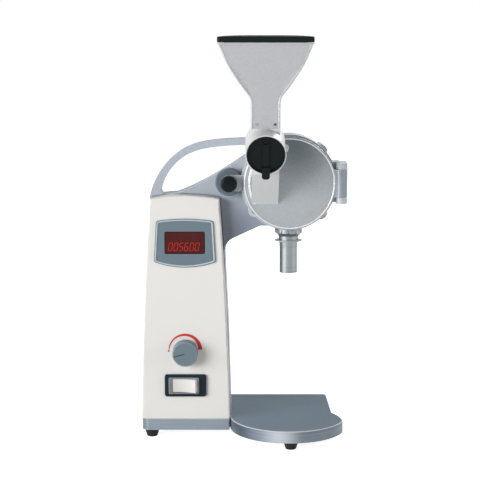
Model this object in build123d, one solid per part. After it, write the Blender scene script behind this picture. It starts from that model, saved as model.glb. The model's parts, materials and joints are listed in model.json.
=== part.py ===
from build123d import *
import math
import os

# Analytical lab mill: a column with controls carries an arm, a lifting handle and a round
# grinding chamber with a motor behind it.  Sizes are millimetres.  While it is drawn, x = 0 and
# y = 0 lie on the outlet's axis, -y is the front and z = 0 is the floor.  At the end the whole
# mill is moved so that its origin is the middle of its footprint.

# ---------------------------------------------------------------- clearances
BODY_GAP = 0.3          # between pieces that move past each other
RUNNING_GAP = 0.04      # radial, shaft in bearing
SEAT_GAP = 0.05         # radial, piece pressed or dropped in a bore of its own body
TIP_ROOM = 1.0          # left in a threaded hole past the screw's tip

# ---------------------------------------------------------------- base and column
FOOT_HEIGHT = 9.7
FOOT_TOP_R = 9.4
FOOT_BOTTOM_R = 6.3
FOOT_INSET = 12.0       # foot centres in from the base's edges
FOOT_SCREW_R = 2.0
PLATE_THICK = 14.6
PLATE_RIM = 0.8         # bevel round the top of the base
STAND_R = 71.0          # round front of the base, under the outlet
STAND_RIGHT = 66.9
STAND_BOW = 2.4         # the round side has come in by this much half-way to the neck
STAND_NECK = 56.0       # right edge of the platform behind the round front
STAND_JOIN = 14.0       # where the round side meets it
BASE_BACK = 104.6
COLUMN_X = -126.0
COLUMN_FRONT = -13.0
COLUMN_FOOT_W = 108.0   # width of the base under the column
COLUMN_HALF_BOTTOM = 54.6
COLUMN_HALF_MIDDLE = 50.4
COLUMN_HALF_TOP = 42.2
COLUMN_SHOULDER = 297.0
COLUMN_CROWN = 4.0      # rise of the column's curved top
COLUMN_BACK = 100.0
REAR_DROP = 29.0        # the column's roof falls this much towards the back
COVER_DEPTH = 20.0
COVER_WALL = 2.6
CASTING_WALL = 5.0
CASTING_PROUD = 1.2     # the casting is this much wider than the front cover
REAR_COVER_T = 3.0
REAR_SCREW_R = 1.5
REAR_BOSS_R = 5.0
REAR_BOSS_LENGTH = 12.0
AIR_SLOTS = 8
AIR_SLOT_W = 50.0
AIR_SLOT_H = 3.0
AIR_SLOT_PITCH = 8.0
AIR_SLOT_Z = 170.0      # lowest slot

# ---------------------------------------------------------------- chamber
AXIS_Z = 316.6          # height of motor and chamber axis
CHAMBER_R = 57.8
CHAMBER_SIDE = 7.8      # wall round the bowl
CHAMBER_BORE_R = CHAMBER_R - CHAMBER_SIDE
CHAMBER_FRONT = -12.0
CHAMBER_BACK = 25.0
CHAMBER_WALL = 10.0     # wall behind the bowl
FLANGE_T = 12.0         # casting behind the chamber
LUG_R = 8.0
LUG_INSET = 4.3         # lug centres inside the bowl's outer wall
LUG_ORBIT = CHAMBER_R - LUG_INSET
LUG_ANGLES = (45.0, 135.0, 220.0, 316.0)
LUG_SCREW_R = 2.0
LUG_THREAD = 8.0        # length of its screw in the casting
FLANGE_STEP = 1.5       # the casting's flange is this much smaller than the chamber
SHAFT_R = 5.0
SHAFT_ROOM = 3.0        # radial, round the shaft in the walls it passes
BEARING_R = 13.0
BEARING_STEP = 2.0      # shoulder that a bearing seats on
SEAL_R = 11.0
SEAL_T = 5.0

# ---------------------------------------------------------------- arm and handle
ARM_FRONT = 4.0
ARM_BACK = 30.0
ARM_OVERLAP = 3.2       # the arm's underside above the chamber's lowest point
ARM_LOW = AXIS_Z - CHAMBER_R + ARM_OVERLAP
ARM_SLOPE = 16.0        # drop of the slanted underside towards the column
ELBOW_DROP = 13.0       # and of the rounded end below it
ELBOW_REACH = 8.0
ELBOW_X = COLUMN_X + COLUMN_HALF_MIDDLE - 1.4
HANDLE_ROOT = (COLUMN_X - COLUMN_HALF_TOP - 1.4, COLUMN_SHOULDER - 5.0)
HANDLE_END = (-40.0, AXIS_Z + CHAMBER_R - 5.0)
# Curves of the handle as shares of the way from its root to its end.
HANDLE_OUTER = ((0.0, 0.0), (0.095, 0.451), (0.339, 0.835), (0.645, 0.964), (1.0, 1.0))
HOLE_ROOF = ((0.110, 0.174), (0.162, 0.401), (0.346, 0.724), (0.599, 0.853), (0.876, 0.889))
HOLE_NOSE = ((0.876, 0.889), (0.927, 0.833), (0.907, 0.731))
HOLE_SILL = ((0.907, 0.731), (0.753, 0.558), (0.472, 0.288), (0.239, 0.121))
HOLE_HEEL = ((0.239, 0.121), (0.151, 0.085), (0.110, 0.174))

# ---------------------------------------------------------------- door
DOOR_STEP = 2.2         # the door is this much smaller than the chamber
DOOR_R = CHAMBER_R - DOOR_STEP
DOOR_T = 13.7
DOOR_BACK = CHAMBER_FRONT - BODY_GAP
DOOR_FRONT = DOOR_BACK - DOOR_T
DOOR_RIM = 1.4          # bevel of the door's edge
DOOR_BED = 0.8          # the face lies this deep inside its edge
DOOR_EDGE = 2.6         # width of that edge
DOOR_BEAD_INSET = 6.6   # raised bead beside the chute, in from the door's edge
DOOR_BEAD_W = 2.4
DOOR_BEAD_PROUD = 0.6
DOOR_SEAL_W = 2.4
DOOR_SEAL_T = 1.8
HINGE_OUT = 4.8         # hinge axis beyond the chamber's wall
HINGE_X = CHAMBER_R + HINGE_OUT
HINGE_Y = -19.0
HINGE_R = 6.8
HINGE_PIN_R = 2.5
HINGE_HALF = 24.5       # half height over both ears
KNUCKLE_HALF = 16.8
HINGE_LEAF_T = 8.0
HINGE_SCREW_R = 2.0

# ---------------------------------------------------------------- latch
LATCH_OUT = 14.7        # latch axis beyond the chamber's wall
LATCH_X = -(CHAMBER_R + LATCH_OUT)
LATCH_BOSS_R = 16.4
LATCH_LUG_R = 9.6
LATCH_LUG_T = 6.7
STUD_R = 3.0
STUD_ROOM = 0.7         # radial play in the boss, lets the door swing
STUD_REACH = 6.0        # how far the stud enters the boss
LATCH_KNOB_R = 10.0
LATCH_KNOB_T = 13.0
LATCH_KNOB_NOSE = 1.2   # height of the knob's cone front
LATCH_TEETH = 24
TOOTH_R = 0.75
COLLAR_R = 8.6
COLLAR_T = 2.0
PLUNGER_R = 1.6
PLUNGER_LENGTH = 27.0
INTERLOCK_DEPTH = 14.0

# ---------------------------------------------------------------- feed valve and hopper
FEED_X = -29.4
FEED_Z = 355.7          # centre of the valve's front ring
FEED_FRONT = -85.0
FEED_TILT = 13.0        # the valve's axis drops towards the front
FEED_R = 23.6
FEED_LENGTH = 55.0
FEED_RING_WALL = 1.3
FEED_LUG_R = 4.2
PLUG_R = 17.0
PLUG_LENGTH = 42.0
POCKET_FRONT = 16.0     # pocket in the plug that portions the feed
POCKET_BACK = 38.0
POCKET_WEB = 6.0
O_RING_FRONT = 12.0
O_RING_T = 2.0
O_RING_DEPTH = 1.5
VALVE_SCREW_R = 2.5
VALVE_HEAD_R = 4.0
VALVE_HEAD_FRONT = 3.0
VALVE_HEAD_T = 3.0
FEED_KNOB_T = 9.0
FEED_KNOB_PROUD = 1.0
DISH_DEPTH = 1.4
RIDGE_W = 7.3
SCOOP_R = 3.6
POINTER_W = 9.4
POINTER_T = 2.4
POINTER_REACH = 28.4
CHUTE_W = 32.0
CHUTE_BORE_R = 10.5
CHUTE_LEAN = 41.3       # of the slanted channel, from the vertical
CHUTE_REACH = 63.7      # the chute ends this far below the valve's front
CHUTE_BOTTOM = FEED_Z - CHUTE_REACH
NECK_W = 34.3
NECK_D = 28.0
NECK_SETBACK = 21.0     # neck behind the valve's front ring
NECK_FRONT = FEED_FRONT + NECK_SETBACK
NECK_BOTTOM = FEED_Z + 28.9
NECK_LENGTH = 29.4
NECK_TOP = NECK_BOTTOM + NECK_LENGTH
SPIGOT_WALL = 2.0
SPIGOT_RISE = 15.4      # spigot inside the neck
SHEET = 1.2
GRUB_R = 1.5
GRUB_SIDE = 11.0
GRUB_RISE = 5.0
# Hopper sides as shares of the way up from the neck and of the way out to the rim.
HOPPER_SIDES = ((0.098, 0.040), (0.237, 0.227), (0.417, 0.460), (0.632, 0.702))
HOPPER_HALF = 55.7
HOPPER_DEPTH = 70.0
HOPPER_BACK = NECK_FRONT + HOPPER_DEPTH
HOPPER_TOP = 483.6
LID_T = 8.2
LID_LAP = 0.6
FUNNEL_TO_PLUG = 11.6   # the funnel is this many times as high as the lid's step is deep
LID_PLUG = (HOPPER_TOP - NECK_TOP) / FUNNEL_TO_PLUG
LID_STEP_IN = 7.2       # the step stands in by this much from the hopper's outside

# ---------------------------------------------------------------- outlet
TUBE_R = 10.9
TUBE_MOUTH_R = 11.4
TUBE_BORE_R = 8.2
TUBE_END = 205.4
TUBE_STRAIGHT = 30.0
SPIGOT_R = TUBE_R - 1.2
NUT_R = 16.9
NUT_T = 9.0
NUT_CONE = 4.0          # height of the nut's tapered lower part
NUT_SEAT = 1.2          # the nut's top lies this deep in the chamber's wall
NUT_NOTCHES = 12
NOTCH_R = 1.3
COLLAR_NECK_R = 12.1
COLLAR_NECK_T = 5.4
WASHER_R = 16.6
WASHER_T = 1.0

# ---------------------------------------------------------------- motor and rotor
MOTOR_R = 43.0
MOTOR_WALL = 3.0
MOTOR_FRONT = CHAMBER_BACK + FLANGE_T
MOTOR_BODY = 91.0
MOTOR_BODY_END = MOTOR_FRONT + MOTOR_BODY
CAP_LENGTH = 57.0
CAP_FLOOR_T = 4.0
CAP_R = 36.5
MOTOR_END = MOTOR_BODY_END + CAP_LENGTH
CAP_FLOOR = MOTOR_END - CAP_FLOOR_T
VENT_COUNT = 16
VENT_RINGS = 3
VENT_R = 1.6
REAR_BEARING_T = 8.0
STATOR_BORE_R = 27.0
STATOR_FRONT = MOTOR_FRONT + 13.0
STATOR_LENGTH = 54.0
STATOR_BACK = STATOR_FRONT + STATOR_LENGTH
AIR_GAP = 0.8
ARMATURE_SLOTS = 12
COMMUTATOR_R = 13.0
BRUSH_HALF = 5.0        # half width of a brush holder, and radius of its cap
FAN_R = 31.0
FAN_HUB_R = 10.0
FAN_T = 16.0
FAN_BLADES = 9
SIEVE_GAP = 2.0         # sieve to bowl
SIEVE_R = CHAMBER_BORE_R - SIEVE_GAP
SIEVE_WALL = 1.5
SIEVE_HOLES = 24
SIEVE_HOLE_R = 2.0
ROTOR_GAP = 4.0         # rotor to sieve's outside
ROTOR_R = SIEVE_R - ROTOR_GAP
ROTOR_T = 5.0
ROTOR_HUB_R = 12.0
BAR_COUNT = 8
BAR_FRONT = CHAMBER_FRONT + 3.0
BAR_LENGTH = 8.0
BAR_HALF = 1.8
ROTOR_NUT_R = 8.0

# ---------------------------------------------------------------- controls
WINDOW_W = 49.0
WINDOW_H = 27.3
WINDOW_Z = 243.5
WINDOW_T = 3.0
WINDOW_CORNER = 2.0
PANEL_ABOVE = 26.7      # panel's upper and lower corners from the window's middle
PANEL_BELOW = 23.3
PANEL_TOP = WINDOW_Z + PANEL_ABOVE
PANEL_BOTTOM = WINDOW_Z - PANEL_BELOW
PANEL_HALF_TOP = 34.6
PANEL_HALF_BOTTOM = 37.6
PANEL_CROWN = 2.8
PANEL_BELLY = 6.8
PANEL_CORNER = 3.4
PANEL_PROUD = 1.6
PANEL_BORDER = 1.7
PANEL_DISH = 0.7
MODULE_MARGIN = 4.0
MODULE_T = 9.0
KNOB_Z = 108.4
KNOB_R = 15.5
KNOB_T = 14.0
KNOB_GROOVE = 0.8       # depth of the pointer groove and half its width
KNOB_REST = 14.0        # degrees, the groove points this far below level
POT_SHAFT_R = 3.0
POT_R = 9.0
POT_T = 12.0
POT_NECK_WALL = 1.5
SWITCH_Z = 66.6
SWITCH_W = 51.0
SWITCH_H = 27.6
SWITCH_PROUD = 2.6
SWITCH_RIM = 2.0        # rim of the housing on the cover
SWITCH_DEPTH = 16.0
ROCKER_X = COLUMN_X - 0.4
ROCKER_W = 29.2
ROCKER_H = 16.5
ROCKER_HORN = 7.2       # rocker's ends and middle in front of its axis, and its keel behind
ROCKER_DISH = 4.8
ROCKER_DEEP = 5.4
ROCKER_TILT = 11.0      # degrees either side of the middle
ROCKER_ROOM = 1.5       # at each end, for its swing
TRUNNION_R = 1.2
TRUNNION_LENGTH = 1.5
PIVOT_Y = COLUMN_FRONT + 1.0
GUARD_X = COLUMN_X - 1.9
GUARD_W = 37.0
GUARD_H = 20.2
GUARD_PROUD = 1.5
BOARD_W = 70.0
BOARD_H = 120.0
BOARD_Z = 150.0
BOARD_T = 1.6
BOARD_MARGIN = 5.0
POST_R = 3.0
SINK_FINS = 5
SINK_W = 34.0
SINK_PITCH = 10.0
SINK_T = 2.5
SINK_DEPTH = 22.4
SINK_BASE = 4.4
CAPACITOR_R = 8.0
INLET_W = 28.0
INLET_H = 24.0
INLET_Z = 62.0
INLET_DEPTH = 24.0
INLET_WALL = 2.75
SOCKET_DEPTH = 16.0
INLET_FLANGE = 1.6
PIN_PLACES = ((-7.0, -2.0), (0.0, 3.0), (7.0, -2.0))
FUSE_Z = INLET_Z + 22.0
FUSE_W = 22.0
FUSE_H = 12.0
FUSE_WALL = 2.0
FUSE_PROUD = 2.6

PLATE_TOP = FOOT_HEIGHT + PLATE_THICK


# ================================================================ drawing helpers
def slab_y(sketch, y0, y1):
    """A front-view sketch (x, z) made solid from y0 to y1."""
    return extrude(Plane.XZ.offset(-y1) * sketch, amount=y1 - y0)


def slab_x(sketch, x0, x1):
    """A side-view sketch (y, z) made solid from x0 to x1."""
    return extrude(Plane.YZ.offset(x0) * sketch, amount=x1 - x0)


def slab_z(sketch, z0, z1):
    """A plan sketch (x, y) made solid from z0 to z1."""
    return extrude(Plane.XY.offset(z0) * sketch, amount=z1 - z0)


def rod_y(x, z, r, y0, y1):
    return slab_y(Pos(x, z) * Circle(r), y0, y1)


def tube_y(x, z, r_out, r_in, y0, y1):
    return rod_y(x, z, r_out, y0, y1) - rod_y(x, z, r_in, y0, y1)


def rod_z(x, y, r, z0, z1):
    return slab_z(Pos(x, y) * Circle(r), z0, z1)


def cone_z(x, y, r_low, r_high, z0, z1):
    return Pos(x, y, (z0 + z1) / 2) * Cone(r_low, r_high, z1 - z0)


def block(x0, x1, y0, y1, z0, z1):
    middle = Pos((x0 + x1) / 2, (y0 + y1) / 2, (z0 + z1) / 2)
    return middle * Box(x1 - x0, y1 - y0, z1 - z0)


def polar(radius, degrees):
    angle = math.radians(degrees)
    return radius * math.cos(angle), radius * math.sin(angle)


def outline(*pieces):
    """A face bounded by lines and curves that meet end to end."""
    return make_face([edge for piece in pieces for edge in piece.edges()])


def along(start, end, share):
    """The point that lies at the given shares of the way across and up from start to end."""
    return start[0] + share[0] * (end[0] - start[0]), start[1] + share[1] * (end[1] - start[1])


def front_rim(solid, y):
    """The edges of a solid's front face."""
    return solid.edges().filter_by_position(Axis.Y, y - 0.01, y + 0.01)


def round_corners(sketch, places, radius):
    """Rounds the sketch's corners that lie nearest to the given places."""
    corners = [sketch.vertices().sort_by_distance(Vector(*place))[0] for place in places]
    return fillet(corners, radius)


MODEL = {}


def keep(node, *shapes):
    """Stores a node's solids until all are written."""
    solids = [solid for shape in shapes for solid in shape.solids()]
    MODEL[node] = solids
    return solids


# ================================================================ base
FOOT_PLACES = (
    (2.0, -STAND_R + FOOT_INSET),
    (COLUMN_X - COLUMN_FOOT_W / 2 + FOOT_INSET, COLUMN_FRONT + FOOT_INSET - 2.5),
    (COLUMN_X - COLUMN_FOOT_W / 2 + FOOT_INSET, BASE_BACK - FOOT_INSET),
    (STAND_NECK - FOOT_INSET, BASE_BACK - FOOT_INSET),
)


def base_plate():
    """One casting: a round stand in front, a straight platform and the column's foot."""
    left = COLUMN_X - COLUMN_FOOT_W / 2
    right = COLUMN_X + COLUMN_FOOT_W / 2
    joint = right - 6
    arc_end = (STAND_RIGHT, -math.sqrt(STAND_R ** 2 - STAND_RIGHT ** 2))
    neck = (STAND_NECK, STAND_JOIN)
    front = ThreePointArc((-STAND_R, 0), (0, -STAND_R), arc_end)
    side = ThreePointArc(arc_end, (STAND_RIGHT - STAND_BOW, (arc_end[1] + STAND_JOIN) / 2), neck)
    platform = Polyline(neck, (STAND_NECK - 2, BASE_BACK), (joint, BASE_BACK), (joint, 0), (-STAND_R, 0))
    plan = outline(front, side, platform)
    plan = round_corners(plan, [neck], 4.0)
    plan = round_corners(plan, [(STAND_NECK - 2, BASE_BACK)], 5.0)
    foot = Pos(COLUMN_X, (COLUMN_FRONT + BASE_BACK) / 2) * Rectangle(COLUMN_FOOT_W, BASE_BACK - COLUMN_FRONT)
    foot = round_corners(foot, [(left, COLUMN_FRONT), (left, BASE_BACK)], 9.0)
    foot = round_corners(foot, [(right, COLUMN_FRONT)], 3.0)
    plate = None
    for shape in (plan, foot):
        slab = slab_z(shape, FOOT_HEIGHT, PLATE_TOP)
        slab = chamfer(slab.edges().filter_by_position(Axis.Z, PLATE_TOP - 0.01, PLATE_TOP + 0.01), PLATE_RIM)
        plate = slab if plate is None else plate + slab
    for x, y in FOOT_PLACES:
        plate -= rod_z(x, y, FOOT_SCREW_R, FOOT_HEIGHT, PLATE_TOP - CASTING_WALL + TIP_ROOM)
    keep("base_plate", plate)


def feet():
    """Black rubber cones, each held by a screw through its middle."""
    head_r = 2 * FOOT_SCREW_R
    head_z = 2.5
    rubber, screws = [], []
    for x, y in FOOT_PLACES:
        foot = cone_z(x, y, FOOT_BOTTOM_R, FOOT_TOP_R, 0, FOOT_HEIGHT)
        foot -= rod_z(x, y, FOOT_SCREW_R + SEAT_GAP, 0, FOOT_HEIGHT)
        foot -= rod_z(x, y, head_r + SEAT_GAP, 0, 2 * head_z)
        rubber.append(foot)
        screw = rod_z(x, y, FOOT_SCREW_R - SEAT_GAP, 2 * head_z, PLATE_TOP - CASTING_WALL)
        screws.append(screw + rod_z(x, y, head_r, head_z, 2 * head_z))
    keep("feet", *rubber)
    keep("foot_screws", *screws)


# ================================================================ column and casting
def column_outline(grow=0.0, z_low=PLATE_TOP):
    """Front view of the column: sides that bow outwards and a crowned top."""
    half_low = COLUMN_HALF_BOTTOM + grow
    half_mid = COLUMN_HALF_MIDDLE + grow
    half_top = COLUMN_HALF_TOP + grow
    z_mid = (PLATE_TOP + COLUMN_SHOULDER) / 2
    shoulder = COLUMN_SHOULDER + grow
    crown = COLUMN_SHOULDER + COLUMN_CROWN + grow
    right = ThreePointArc((half_low, z_low), (half_mid, z_mid), (half_top, shoulder))
    top = ThreePointArc((half_top, shoulder), (0, crown), (-half_top, shoulder))
    left = ThreePointArc((-half_top, shoulder), (-half_mid, z_mid), (-half_low, z_low))
    foot = Line((-half_low, z_low), (half_low, z_low))
    return Pos(COLUMN_X, 0) * outline(right, top, left, foot)


def handle_curve(kind, shares):
    return kind(*[along(HANDLE_ROOT, HANDLE_END, share) for share in shares])


def handle_outlines():
    """Outer and inner outline of the handle and the arm under it, in front view."""
    under_end = (-0.6 * CHAMBER_R, ARM_LOW)
    elbow_top = (ELBOW_X + ELBOW_REACH, ARM_LOW - ARM_SLOPE)
    elbow_low = (ELBOW_X, elbow_top[1] - ELBOW_DROP)
    elbow_middle = (ELBOW_X + 0.3 * ELBOW_REACH, elbow_top[1] - 0.4 * ELBOW_DROP)
    inside = (COLUMN_X, elbow_low[1])
    outer = handle_curve(Spline, HANDLE_OUTER)
    arm = Polyline(HANDLE_END, (0, HANDLE_END[1]), (0, ARM_LOW), under_end, elbow_top)
    elbow = ThreePointArc(elbow_top, elbow_middle, elbow_low)
    web = outline(outer, arm, elbow, Polyline(elbow_low, inside, HANDLE_ROOT))
    hole = outline(handle_curve(Spline, HOLE_ROOF), handle_curve(ThreePointArc, HOLE_NOSE),
                   handle_curve(Spline, HOLE_SILL), handle_curve(ThreePointArc, HOLE_HEEL))
    return web, hole


def casting_roof(lower=0.0):
    """Side view of what the sloping roof takes off the back of the column."""
    front = ARM_BACK + 4
    high = COLUMN_SHOULDER + 2 * CASTING_WALL
    return Pos(0, -lower) * make_face(Polyline(
        (front, high), (front, COLUMN_SHOULDER - 4), (COLUMN_BACK, COLUMN_SHOULDER - REAR_DROP),
        (COLUMN_BACK + CASTING_WALL, high), close=True))


def cast_frame():
    """Column shell, arm, handle and the flange that carries chamber and motor, in one casting."""
    cover_back = COLUMN_FRONT + COVER_DEPTH
    left = COLUMN_X - 2 * COLUMN_HALF_BOTTOM
    right = COLUMN_X + 2 * COLUMN_HALF_BOTTOM
    shell = slab_y(column_outline(CASTING_PROUD), cover_back, COLUMN_BACK)
    room = slab_y(column_outline(-CASTING_WALL, PLATE_TOP + CASTING_WALL), cover_back, COLUMN_BACK)
    shell -= slab_x(casting_roof(), left, right)
    room -= slab_x(casting_roof(CASTING_WALL), left, right)
    shell -= room
    web, hole = handle_outlines()
    arm = slab_y(web, ARM_FRONT, ARM_BACK) - slab_y(hole, ARM_FRONT, ARM_BACK)
    arm -= slab_y(column_outline(CASTING_PROUD), ARM_FRONT, cover_back)
    arm -= room
    arm -= rod_y(0, AXIS_Z, CHAMBER_R + SEAT_GAP, ARM_FRONT, CHAMBER_BACK)
    flange = rod_y(0, AXIS_Z, CHAMBER_R - FLANGE_STEP, CHAMBER_BACK, MOTOR_FRONT)
    for x, z in lug_places():
        arm -= rod_y(x, z, LUG_R + SEAT_GAP, ARM_FRONT, CHAMBER_BACK)
        flange += rod_y(x, z, LUG_R - FLANGE_STEP / 3, CHAMBER_BACK, MOTOR_FRONT)
    casting = shell + arm + flange
    casting -= rod_y(0, AXIS_Z, SHAFT_R + SHAFT_ROOM, CHAMBER_BACK, MOTOR_FRONT)
    casting -= rod_y(0, AXIS_Z, BEARING_R, CHAMBER_BACK + BEARING_STEP, MOTOR_FRONT)
    for x, z in lug_places():
        casting -= rod_y(x, z, LUG_SCREW_R, CHAMBER_BACK, CHAMBER_BACK + LUG_THREAD + TIP_ROOM)
    casting -= rod_y(LATCH_X, AXIS_Z, PLUNGER_R + RUNNING_GAP, ARM_FRONT, ARM_BACK)
    boss_front = COLUMN_BACK - REAR_BOSS_LENGTH
    for x, z in rear_screw_places():
        boss = rod_y(x, z, REAR_BOSS_R, boss_front, COLUMN_BACK)
        casting += boss & slab_y(column_outline(CASTING_PROUD), boss_front, COLUMN_BACK)
        casting -= rod_y(x, z, REAR_SCREW_R, boss_front + TIP_ROOM, COLUMN_BACK)
    keep("cast_frame", casting)


def rear_screw_places():
    """Two low, two high, each on a boss just inside the casting's side wall."""
    low = (PLATE_TOP + 14, COLUMN_HALF_BOTTOM - 6)
    high = (COLUMN_SHOULDER - REAR_DROP - 18, COLUMN_HALF_MIDDLE - 8)
    return [(COLUMN_X + side * half, z) for z, half in (low, high) for side in (-1, 1)]


def post_places():
    half_w = BOARD_W / 2 - BOARD_MARGIN
    half_h = BOARD_H / 2 - BOARD_MARGIN
    return [(COLUMN_X + sx * half_w, BOARD_Z + sz * half_h) for sx in (-1, 1) for sz in (-1, 1)]


def cover_hole(x, z, width, height):
    """A rectangular opening through the front cover's face."""
    return slab_y(Pos(x, z) * Rectangle(width, height), COLUMN_FRONT, COLUMN_FRONT + COVER_WALL)


def front_cover():
    """White moulded shell over the front of the column."""
    back = COLUMN_FRONT + COVER_DEPTH
    face_back = COLUMN_FRONT + COVER_WALL
    low = PLATE_TOP + BODY_GAP
    shell = slab_y(column_outline(0.0, low), COLUMN_FRONT, back)
    shell = fillet(front_rim(shell, COLUMN_FRONT).filter_by(GeomType.CIRCLE), 0.85 * COVER_WALL)
    shell -= slab_y(column_outline(-COVER_WALL, low + COVER_WALL), face_back, back)
    for x, z in post_places():
        shell += rod_y(x, z, POST_R, face_back, back)
    shell -= cover_hole(COLUMN_X, WINDOW_Z, WINDOW_W + 2 * BODY_GAP, WINDOW_H + 2 * BODY_GAP)
    shell -= rod_y(COLUMN_X, KNOB_Z, POT_SHAFT_R + POT_NECK_WALL, COLUMN_FRONT, face_back)
    shell -= cover_hole(COLUMN_X, SWITCH_Z, SWITCH_W - 2 * SWITCH_RIM, SWITCH_H - 2 * SWITCH_RIM)
    keep("front_cover", shell)


def rear_cover():
    """Flat cover of the column's back, with air slots and the inlet's openings."""
    back = COLUMN_BACK + REAR_COVER_T
    top = COLUMN_SHOULDER - REAR_DROP - CASTING_WALL - TIP_ROOM
    limit = Pos(COLUMN_X, top / 2) * Rectangle(4 * COLUMN_HALF_BOTTOM, top)
    panel = slab_y(column_outline(-BODY_GAP, PLATE_TOP + BODY_GAP) & limit, COLUMN_BACK, back)
    for row in range(AIR_SLOTS):
        slot = Pos(COLUMN_X, AIR_SLOT_Z + AIR_SLOT_PITCH * row) * Rectangle(AIR_SLOT_W, AIR_SLOT_H)
        panel -= slab_y(slot, COLUMN_BACK, back)
    panel -= slab_y(inlet_outline() + fuse_outline(), COLUMN_BACK, back)
    screws = []
    for x, z in rear_screw_places():
        panel -= rod_y(x, z, REAR_SCREW_R + BODY_GAP, COLUMN_BACK, back)
        shank = rod_y(x, z, REAR_SCREW_R - SEAT_GAP, COLUMN_BACK - REAR_BOSS_LENGTH + 2 * TIP_ROOM, back)
        screws.append(shank + rod_y(x, z, 2 * REAR_SCREW_R, back, back + 1.2 * REAR_SCREW_R))
    keep("rear_cover", panel)
    keep("rear_cover_screws", *screws)


def inlet_outline(grow=0.0):
    return Pos(COLUMN_X, INLET_Z) * Rectangle(INLET_W + 2 * grow, INLET_H + 2 * grow)


def fuse_outline(grow=0.0):
    """Outline round the fuse drawer's room, with the wall on all sides."""
    return Pos(COLUMN_X, FUSE_Z) * Rectangle(FUSE_W + 2 * (FUSE_WALL + grow), FUSE_H + 2 * (FUSE_WALL + grow))


def mains_inlet():
    """Inlet socket with three pins, and the fuse drawer above it."""
    back = COLUMN_BACK + REAR_COVER_T
    front = back - INLET_DEPTH
    rim = back + INLET_FLANGE
    floor = back - SOCKET_DEPTH
    low = INLET_Z - INLET_H / 2 - FUSE_WALL
    high = FUSE_Z + FUSE_H / 2 + 2.5 * FUSE_WALL
    body = slab_y(inlet_outline(-SEAT_GAP) + fuse_outline(-SEAT_GAP), front, back)
    body += block(COLUMN_X - INLET_W / 2 - 6, COLUMN_X + INLET_W / 2 + 6, back, rim, low, high)
    body -= slab_y(inlet_outline(-INLET_WALL), floor, rim)
    body -= slab_y(fuse_outline(-FUSE_WALL), front + FUSE_WALL, rim)
    pins = [block(COLUMN_X + x - 1, COLUMN_X + x + 1, floor, back - 4, INLET_Z + z - 2, INLET_Z + z + 2)
            for x, z in PIN_PLACES]
    drawer_front = front + FUSE_WALL + BODY_GAP
    drawer = slab_y(fuse_outline(-FUSE_WALL - BODY_GAP), drawer_front, back + FUSE_PROUD)
    tray = 1.5 * FUSE_WALL
    drawer -= block(COLUMN_X - FUSE_W / 2 + tray, COLUMN_X + FUSE_W / 2 - tray, drawer_front + tray,
                    back - FUSE_WALL, FUSE_Z - FUSE_H / 2 + tray, FUSE_Z + FUSE_H / 2)
    keep("mains_inlet", body)
    keep("inlet_pins", *pins)
    keep("fuse_drawer", drawer)


# ================================================================ controls
def panel_outline(shrink=0.0):
    """Front view of the display panel: narrow crowned top, wide rounded belly."""
    top = PANEL_HALF_TOP - shrink
    low = PANEL_HALF_BOTTOM - shrink
    z_top = PANEL_TOP - shrink
    z_low = PANEL_BOTTOM + shrink
    roof = ThreePointArc((top, z_top), (0, z_top + PANEL_CROWN), (-top, z_top))
    belly = ThreePointArc((-low, z_low), (0, z_low - PANEL_BELLY), (low, z_low))
    left = Line((-top, z_top), (-low, z_low))
    right = Line((low, z_low), (top, z_top))
    shape = outline(roof, left, belly, right)
    return Pos(COLUMN_X, 0) * fillet(shape.vertices(), PANEL_CORNER - shrink)


def window_outline(shrink=0.0):
    shape = Pos(COLUMN_X, WINDOW_Z) * Rectangle(WINDOW_W - 2 * shrink, WINDOW_H - 2 * shrink)
    return fillet(shape.vertices(), WINDOW_CORNER)


def display():
    """Grey panel with a raised border, dark window, and the display behind it."""
    front = COLUMN_FRONT - PANEL_PROUD
    window_back = COLUMN_FRONT + COVER_WALL
    bezel = slab_y(panel_outline(), front, COLUMN_FRONT)
    bezel -= slab_y(panel_outline(PANEL_BORDER), front, front + PANEL_DISH)
    bezel -= slab_y(window_outline(), front, COLUMN_FRONT)
    window = slab_y(window_outline(SEAT_GAP), window_back - WINDOW_T, window_back)
    board = Rectangle(WINDOW_W + 2 * MODULE_MARGIN, WINDOW_H + 1.5 * MODULE_MARGIN)
    module = slab_y(Pos(COLUMN_X, WINDOW_Z) * board, window_back, window_back + MODULE_T)
    keep("display_bezel", bezel)
    keep("display_window", window)
    keep("display_module", module)


def control_board():
    """Circuit board with its heat sink and capacitors, on the cover's posts."""
    front = COLUMN_FRONT + COVER_DEPTH
    back = front + BOARD_T
    sink_left = COLUMN_X - BOARD_W / 2 + BOARD_MARGIN + POST_R
    sink_right = sink_left + SINK_W
    sink_low = BOARD_Z - (SINK_FINS - 1) * SINK_PITCH / 2
    sink_high = sink_low + (SINK_FINS - 1) * SINK_PITCH + SINK_T
    board = slab_y(Pos(COLUMN_X, BOARD_Z) * Rectangle(BOARD_W, BOARD_H), front, back)
    board += block(sink_left, sink_right, back, back + SINK_BASE, sink_low, sink_high)
    for fin in range(SINK_FINS):
        z = sink_low + SINK_PITCH * fin
        board += block(sink_left, sink_right, back, back + SINK_DEPTH, z, z + SINK_T)
    for z in (sink_low - 2.5 * CAPACITOR_R, sink_high + 2.5 * CAPACITOR_R):
        board += rod_y(sink_right + CAPACITOR_R, z, CAPACITOR_R, back, back + SINK_DEPTH)
    keep("control_board", board)


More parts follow.
